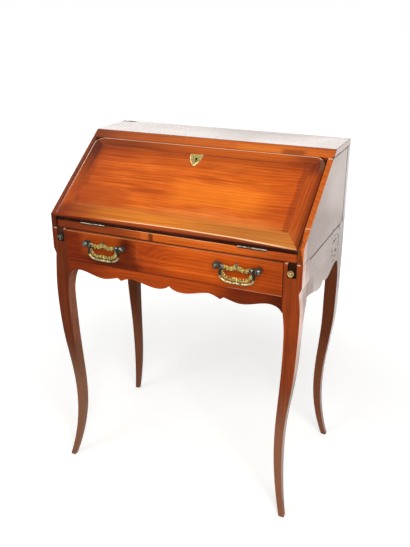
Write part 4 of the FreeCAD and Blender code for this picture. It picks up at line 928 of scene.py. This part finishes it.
def lights():
    lamp("key", place=(1.5, -2.2, 2.3), target=(0.0, 0.0, 0.7), size=(1.6, 1.6), power=58.0)
    lamp("fill", place=(-1.0, -1.9, 2.3), target=(0.0, 0.0, 0.7), size=(1.2, 0.8), power=15.0)
    window("back_window", place=(-0.85, 2.1, 1.78), target=(0.0, 0.1, 0.945), size=(2.0, 1.1), power=20.0)
    window("left_window", place=(-2.1, 0.7, 1.5), target=(-0.3, 0.0, 0.85), size=(1.2, 1.0), power=16.0)
    window("side_window", place=(0.72, 0.75, 0.5), target=(0.35, 0.0, 0.72), size=(0.7, 1.0), power=2.9)
    window("low_window", place=(0.75, 0.6, 0.01), target=(0.75, 0.6, 1.0), size=(0.9, 1.5), power=3.0)
    window("upper_window", place=(0.61, 0.8, 0.83), target=(0.61, 0.0, 0.83), size=(0.5, 0.54), power=0.62)
    window("front_window", place=(-0.5, -1.5, 2.1), target=(0.0, -0.2, 0.7), size=(2.0, 0.8), power=7.0)


# Strength of the white room in gloss, before and behind the desk, and in diffuse light
ROOM_GLOSS = (0.15, 0.8)
ROOM_STEP = (-0.3, 0.15)
ROOM_FILL = 0.45


def room():
    """White all round for the eye, and for gloss white behind the desk and dim before it."""
    g = Graph(bpy.data.worlds.new("white_room"))
    seen, glossy = g.backdrop()
    direction = g.add("ShaderNodeTexCoord").outputs["Generated"]
    behind = g.between(g.dot(direction, DEEP), *ROOM_STEP, *ROOM_GLOSS)
    lit = g.total(g.times(glossy, behind), g.times(g.minus(1.0, glossy), ROOM_FILL))
    strength = g.total(seen, g.times(g.minus(1.0, seen), lit))
    bpy.context.scene.world = g.finish(
        {"Color": WHITE, "Strength": strength}, "ShaderNodeBackground", "ShaderNodeOutputWorld",
    )
    bpy.context.scene.view_settings.view_transform = "Standard"


# White paper floor, with a glow for the eye that grows away from the desk
FLOOR_HALF = 6.0
PAPER_LUMPS = (60.0, 60.0, 60.0)
PAPER_DARK = (0.3, rgb(0.85, 0.85, 0.83))
PAPER_LIGHT = (0.7, rgb(0.88, 0.88, 0.86))
GLOW_STEP = (0.5, 1.8)
GLOW = (0.36, 0.75)


def white_floor():
    mesh = bpy.data.meshes.new("floor")
    corners = [(-FLOOR_HALF, -FLOOR_HALF), (FLOOR_HALF, -FLOOR_HALF)]
    corners += [(FLOOR_HALF, FLOOR_HALF), (-FLOOR_HALF, FLOOR_HALF)]
    mesh.from_pydata([(x, y, FLOOR_LEVEL) for x, y in corners], [], [(0, 1, 2, 3)])
    floor = link("floor", mesh)
    g = new_graph("white_floor")
    seen, _ = g.backdrop()
    paper = g.noise(g.coords, PAPER_LUMPS, detail=3.0)
    mesh.materials.append(g.finish({
        "Base Color": g.ramp(paper, PAPER_DARK, PAPER_LIGHT),
        "Roughness": 0.9,
        "Specular IOR Level": 0.1,
        "Emission Color": WHITE,
        "Emission Strength": g.times(seen, g.between(g.length(g.coords), *GLOW_STEP, *GLOW)),
    }))


# Drop handle, in millimetres from its pivots: X along the drawer, Z up, Y away from the viewer
BEAD_PLACE = 38.5
BEAD_PROFILE = [
    (-6.2, 1.6), (-5.8, 3.8), (-4.8, 5.4), (-4.0, 5.0), (-2.8, 6.4), (0.0, 7.2), (2.8, 6.4), (4.8, 4.4),
    (6.2, 2.6),
]
BAIL_PATH = [
    (38.5, -4.0), (42.6, -12.0), (44.3, -21.0), (40.4, -31.0), (29.0, -37.4), (14.0, -39.3), (0.0, -39.5),
]
BAIL_RADII = [3.3, 3.4, 3.4, 3.3, 3.2, 3.2, 3.3]
SPRAY_PATH = [(33.0, -1.0), (24.0, -3.2), (14.0, -2.8), (7.0, -1.2), (0.0, -0.4)]
SPRAY_RADII = [2.8, 3.4, 3.8, 4.2, 4.6]
SPRAY_LEAVES = [(9.5, 7.6), (10.0, 8.2), (10.0, 8.2), (9.5, 8.0)]
SPRAY_TILT = 38
GARLAND_PATH = [(40.4, -14.5), (35.6, -23.8), (26.0, -29.8), (12.6, -31.8), (0.0, -32.0)]
GARLAND_RADII = [1.8, 2.4, 2.8, 2.8, 2.6]
GARLAND_LEAVES = [(8.5, 6.6), (9.5, 7.4), (10.0, 7.6), (10.0, 7.6), (9.5, 7.4), (8.5, 7.0)]
GARLAND_TILT = 56
STEM_DEPTH = 0.4
BUD_PATH = [(0.0, -37.0), (0.0, -33.0), (0.0, -29.5), (0.0, -26.5), (0.0, -23.5)]
BUD_RADII = [2.0, 3.2, 3.8, 2.8, 0.6]
BUD_LEAVES = [(52, 12.0, 6.0), (128, 12.0, 6.0)]
BUD_ROOT = (0.0, -33.0)
FLEURON = [(58, 12.0, 6.6), (122, 12.0, 6.6), (14, 11.0, 6.0), (166, 11.0, 6.0)]
FLEURON_ROOT = (0.0, -0.4)
CREST_PATH = [(0.0, 3.0), (0.0, 6.0), (0.0, 9.0), (0.0, 11.4), (0.0, 13.2)]
CREST_RADII = [2.4, 3.0, 3.6, 3.0, 0.8]
BEAD_SIDES = 20
BAIL_SIDES = 18
BUD_SIDES = 14
STEM_SIDES = 12
HANDLE_METALS = ("aged_brass", "dark_bronze", "bail_brass")
BRASS_FINISH, BRONZE_FINISH, BAIL_FINISH = range(3)

# Leaf: its columns and rows, its outline, its relief in millimetres, and where it starts on a spray
LEAF_COLUMNS = (-1.0, -0.5, 0.0, 0.5, 1.0)
LEAF_ROWS = 9
LEAF_TAPER = 0.8
LEAF_TIP = 0.15
LEAF_LOBES = 5
LOBE_DEPTH = 0.16
LEAF_ARCH = 0.9
LEAF_RISE = 0.9
LEAF_RIB = 0.5
LEAF_BACK = 0.9
LEAF_OFFSET = 0.35

# Shield over the keyhole, hung a little askew, in millimetres from it: across, then up the slope
SHIELD_TOP = [(-22.6, 16.4), (-13.5, 15.8), (-4.5, 15.8), (5.0, 16.6), (14.2, 17.9)]
SHIELD_RIGHT = [(14.2, 17.9), (13.8, 5.4), (10.9, -7.0), (5.6, -17.0), (-0.8, -24.2)]
SHIELD_LEFT = [(-0.8, -24.2), (-7.6, -18.2), (-14.8, -8.2), (-20.2, 3.4), (-22.6, 16.4)]
KEY_RADIUS = 3.2
KEY_SLOT_HALF = 1.6
KEY_SLOT_DROP = 9.5
TINY = 0.001
# The keyhole's walls in dark bronze: painted shade inside the hole
SHIELD_METALS = ("rubbed_brass", "shield_brass", "dark_bronze")
RIM_FINISH, PLATE_FINISH, HOLE_SHADE_FINISH = range(3)
# Rings from its edge to the keyhole: share of the way out from the hole, height, finish up to the next ring
SHIELD_RINGS = [
    (1.0, 0.0, RIM_FINISH), (0.98, 0.5, RIM_FINISH), (0.86, 1.4, RIM_FINISH), (0.8, 1.4, PLATE_FINISH),
    (0.77, 0.9, PLATE_FINISH), (0.06, 0.9, PLATE_FINISH), (0.0, 0.7, HOLE_SHADE_FINISH), (0.0, 0.0, PLATE_FINISH),
]
CURVE_STEPS = 6
AWAY = Vector(DEEP)


def smooth(places):
    """Curve through places of any number of coordinates."""
    places = [Vector(place) for place in places]
    ends = [places[0] * 2 - places[1]] + places + [places[-1] * 2 - places[-2]]
    curve = []
    for a, b, c, d in zip(ends, ends[1:], ends[2:], ends[3:]):
        for step in range(CURVE_STEPS):
            t = step / CURVE_STEPS
            square = (a * 2 - b * 5 + c * 4 - d) * t ** 2
            cube = (b * 3 - a - c * 3 + d) * t ** 3
            curve.append((b * 2 + (c - a) * t + square + cube) / 2)
    return curve + [places[-1]]


class Casting:
    """Mesh of one cast piece in millimetres, of bars and leaves that lie in the X-Z plane or of rings."""

    def __init__(self):
        self.mesh = bmesh.new()

    def face(self, corners, finish, rounded=True):
        made = self.mesh.faces.new(corners)
        made.material_index = finish
        made.smooth = rounded

    def sleeve(self, low, high, finish, rounded=True):
        """Faces between two closed rings with as many corners."""
        for corner in range(len(low)):
            after = (corner + 1) % len(low)
            self.face((low[corner], low[after], high[after], high[corner]), finish, rounded)

    def bar(self, path, radii, finish, sides, depth=1.0):
        """Bar along (x, z) places, with a radius at each, round or flattened to a share of its depth."""
        places = [Vector((x, 0.0, z)) for x, z in path]
        rings = []
        for index, (place, radius) in enumerate(zip(places, radii)):
            run = places[min(index + 1, len(places) - 1)] - places[max(index - 1, 0)]
            side = run.normalized().cross(AWAY)
            ring = []
            for corner in range(sides):
                turn = math.tau * corner / sides
                spoke = side * math.cos(turn) + AWAY * (depth * math.sin(turn))
                ring.append(self.mesh.verts.new(place + radius * spoke))
            rings.append(ring)
        for low, high in zip(rings, rings[1:]):
            self.sleeve(low, high, finish)
        self.face(rings[0][::-1], finish)
        self.face(rings[-1], finish)

    def leaf_row(self, spine, side, half, arch):
        """Corners of a leaf's front and back across its spine. They share the two at its edges."""
        front, back = [], []
        for column in LEAF_COLUMNS:
            spot = spine + side * (half * column)
            rise = arch + (1.0 - abs(column)) * LEAF_RISE + (LEAF_RIB if column == 0.0 else 0.0)
            corner = self.mesh.verts.new(spot - AWAY * rise)
            front.append(corner)
            at_edge = abs(column) == 1.0
            back.append(corner if at_edge else self.mesh.verts.new(spot + AWAY * LEAF_BACK))
        return front, back

    def leaf(self, root, angle, length, width, finish):
        """Pointed leaf with lobed edges and a raised midrib, from its root along an angle from +X to +Z."""
        along = Vector((math.cos(math.radians(angle)), 0.0, math.sin(math.radians(angle))))
        side = Vector((-along.z, 0.0, along.x))
        start = Vector((root[0], 0.0, root[1]))
        rows = []
        for row in range(LEAF_ROWS):
            t = row / (LEAF_ROWS - 1)
            lobes = 1.0 + LOBE_DEPTH * math.sin(LEAF_LOBES * math.pi * t)
            half = max(width / 2 * math.sin(math.pi * t ** LEAF_TAPER) * lobes, LEAF_TIP)
            arch = LEAF_ARCH * math.sin(math.pi * t)
            rows.append(self.leaf_row(start + along * (length * t), side, half, arch))
        for (low_front, low_back), (high_front, high_back) in zip(rows, rows[1:]):
            for column in range(len(LEAF_COLUMNS) - 1):
                pair = slice(column, column + 2)
                self.face(low_front[pair] + high_front[pair][::-1], finish)
                self.face(high_back[pair] + low_back[pair][::-1], finish)
        for front, back in (rows[0], rows[-1]):
            self.face(list(dict.fromkeys(front + back[::-1])), finish)

    def piece(self, name, pivot, finishes):
        """Object of this casting, its pivot at a place in metres."""
        bmesh.ops.recalc_face_normals(self.mesh, faces=self.mesh.faces)
        bmesh.ops.scale(self.mesh, vec=(MILLIMETRE,) * 3, verts=self.mesh.verts)
        bmesh.ops.translate(self.mesh, vec=pivot, verts=self.mesh.verts)
        data = bpy.data.meshes.new(name)
        self.mesh.to_mesh(data)
        self.mesh.free()
        for finish in finishes:
            data.materials.append(finish)
        return link(name, data)


def leaves_along(casting, path, sizes, tilt):
    """Leaves of (length, width) on a spray, from its outer end to its middle, tilted from its run."""
    step = (len(path) - 1) / len(sizes)
    for index, (length, width) in enumerate(sizes):
        at = int(step * (index + LEAF_OFFSET))
        run = path[at] - path[at + 1]
        angle = math.degrees(math.atan2(run.y, run.x))
        casting.leaf(path[at], angle + tilt, length, width, BRASS_FINISH)


def stem(casting, path, radii, finish, sides, depth=1.0):
    """Smooth bar through a few places, with a radius at each."""
    radii = [radius.x for radius in smooth([(radius, 0) for radius in radii])]
    casting.bar(smooth(path), radii, finish, sides, depth)


def half_handle(casting, sign):
    """Bead, half the spray between the beads and half the garland in the bail, on one side."""
    bead = [(sign * (BEAD_PLACE - x), 0.0) for x, _ in BEAD_PROFILE]
    casting.bar(bead, [radius for _, radius in BEAD_PROFILE], BRONZE_FINISH, BEAD_SIDES)
    spray = [(sign * x, z) for x, z in SPRAY_PATH]
    stem(casting, spray, SPRAY_RADII, BRASS_FINISH, STEM_SIDES, STEM_DEPTH)
    leaves_along(casting, smooth(spray), SPRAY_LEAVES, SPRAY_TILT)
    leaves_along(casting, smooth(spray), SPRAY_LEAVES, -SPRAY_TILT)
    garland = [(sign * x, z) for x, z in GARLAND_PATH]
    stem(casting, garland, GARLAND_RADII, BRASS_FINISH, STEM_SIDES, STEM_DEPTH)
    leaves_along(casting, smooth(garland), GARLAND_LEAVES, sign * GARLAND_TILT)


def drop_handle(side, finishes):
    """Cast bail with a spray of leaves between its beads and a leaf garland inside its lower bar."""
    casting = Casting()
    for sign in (-1, 1):
        half_handle(casting, sign)
    bail = [(-x, z) for x, z in BAIL_PATH] + BAIL_PATH[-2::-1]
    stem(casting, bail, BAIL_RADII + BAIL_RADII[-2::-1], BAIL_FINISH, BAIL_SIDES)
    stem(casting, BUD_PATH, BUD_RADII, BRASS_FINISH, BUD_SIDES)
    stem(casting, CREST_PATH, CREST_RADII, BRONZE_FINISH, BUD_SIDES)
    for root, leaves in ((FLEURON_ROOT, FLEURON), (BUD_ROOT, BUD_LEAVES)):
        for angle, length, width in leaves:
            casting.leaf(root, angle, length, width, BRASS_FINISH)
    pivot = Vector(JOINTS[f"handle_{side}_swing"]["pos_m"])
    item = casting.piece(f"cast_handle_{side}", pivot, finishes)
    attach(item, f"handle_{side}")
    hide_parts(f"drop_handle_{side}")


def key_reach(direction):
    """Distance from the middle of the keyhole to its edge."""
    if direction.y >= 0.0:
        return KEY_RADIUS
    across = KEY_SLOT_HALF / max(abs(direction.x), TINY)
    return max(KEY_RADIUS, min(across, KEY_SLOT_DROP / -direction.y))


def on_fall(across, up, out):
    """Place given across the desk, up the fall's slope and out of it."""
    return Vector(ACROSS) * across + Vector(UP_THE_FALL) * up + Vector(OUT_OF_FALL) * out


def shield(finishes):
    """Escutcheon with a raised, bevelled rim, let through by the keyhole."""
    outline = [place for edge in (SHIELD_TOP, SHIELD_RIGHT, SHIELD_LEFT) for place in smooth(edge)[:-1]]
    casting = Casting()
    rings = []
    for share, height, _ in SHIELD_RINGS:
        ring = []
        for place in outline:
            direction = place.normalized()
            spot = (direction * key_reach(direction)).lerp(place, share)
            ring.append(casting.mesh.verts.new(on_fall(spot.x, spot.y, height)))
        rings.append(ring)
    for low, high, (_, _, finish) in zip(rings, rings[1:] + rings[:1], SHIELD_RINGS):
        casting.sleeve(low, high, finish, rounded=False)
    item = casting.piece("shield", on_fall(*KEYHOLE, FALL_FACE), finishes)
    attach(item, "fall")
    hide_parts("escutcheon")


materials = dress()
soften_all()
for side in ("left", "right"):
    drop_handle(side, [materials[name] for name in HANDLE_METALS])
shield([materials[name] for name in SHIELD_METALS])
room()
white_floor()
lights()
camera()
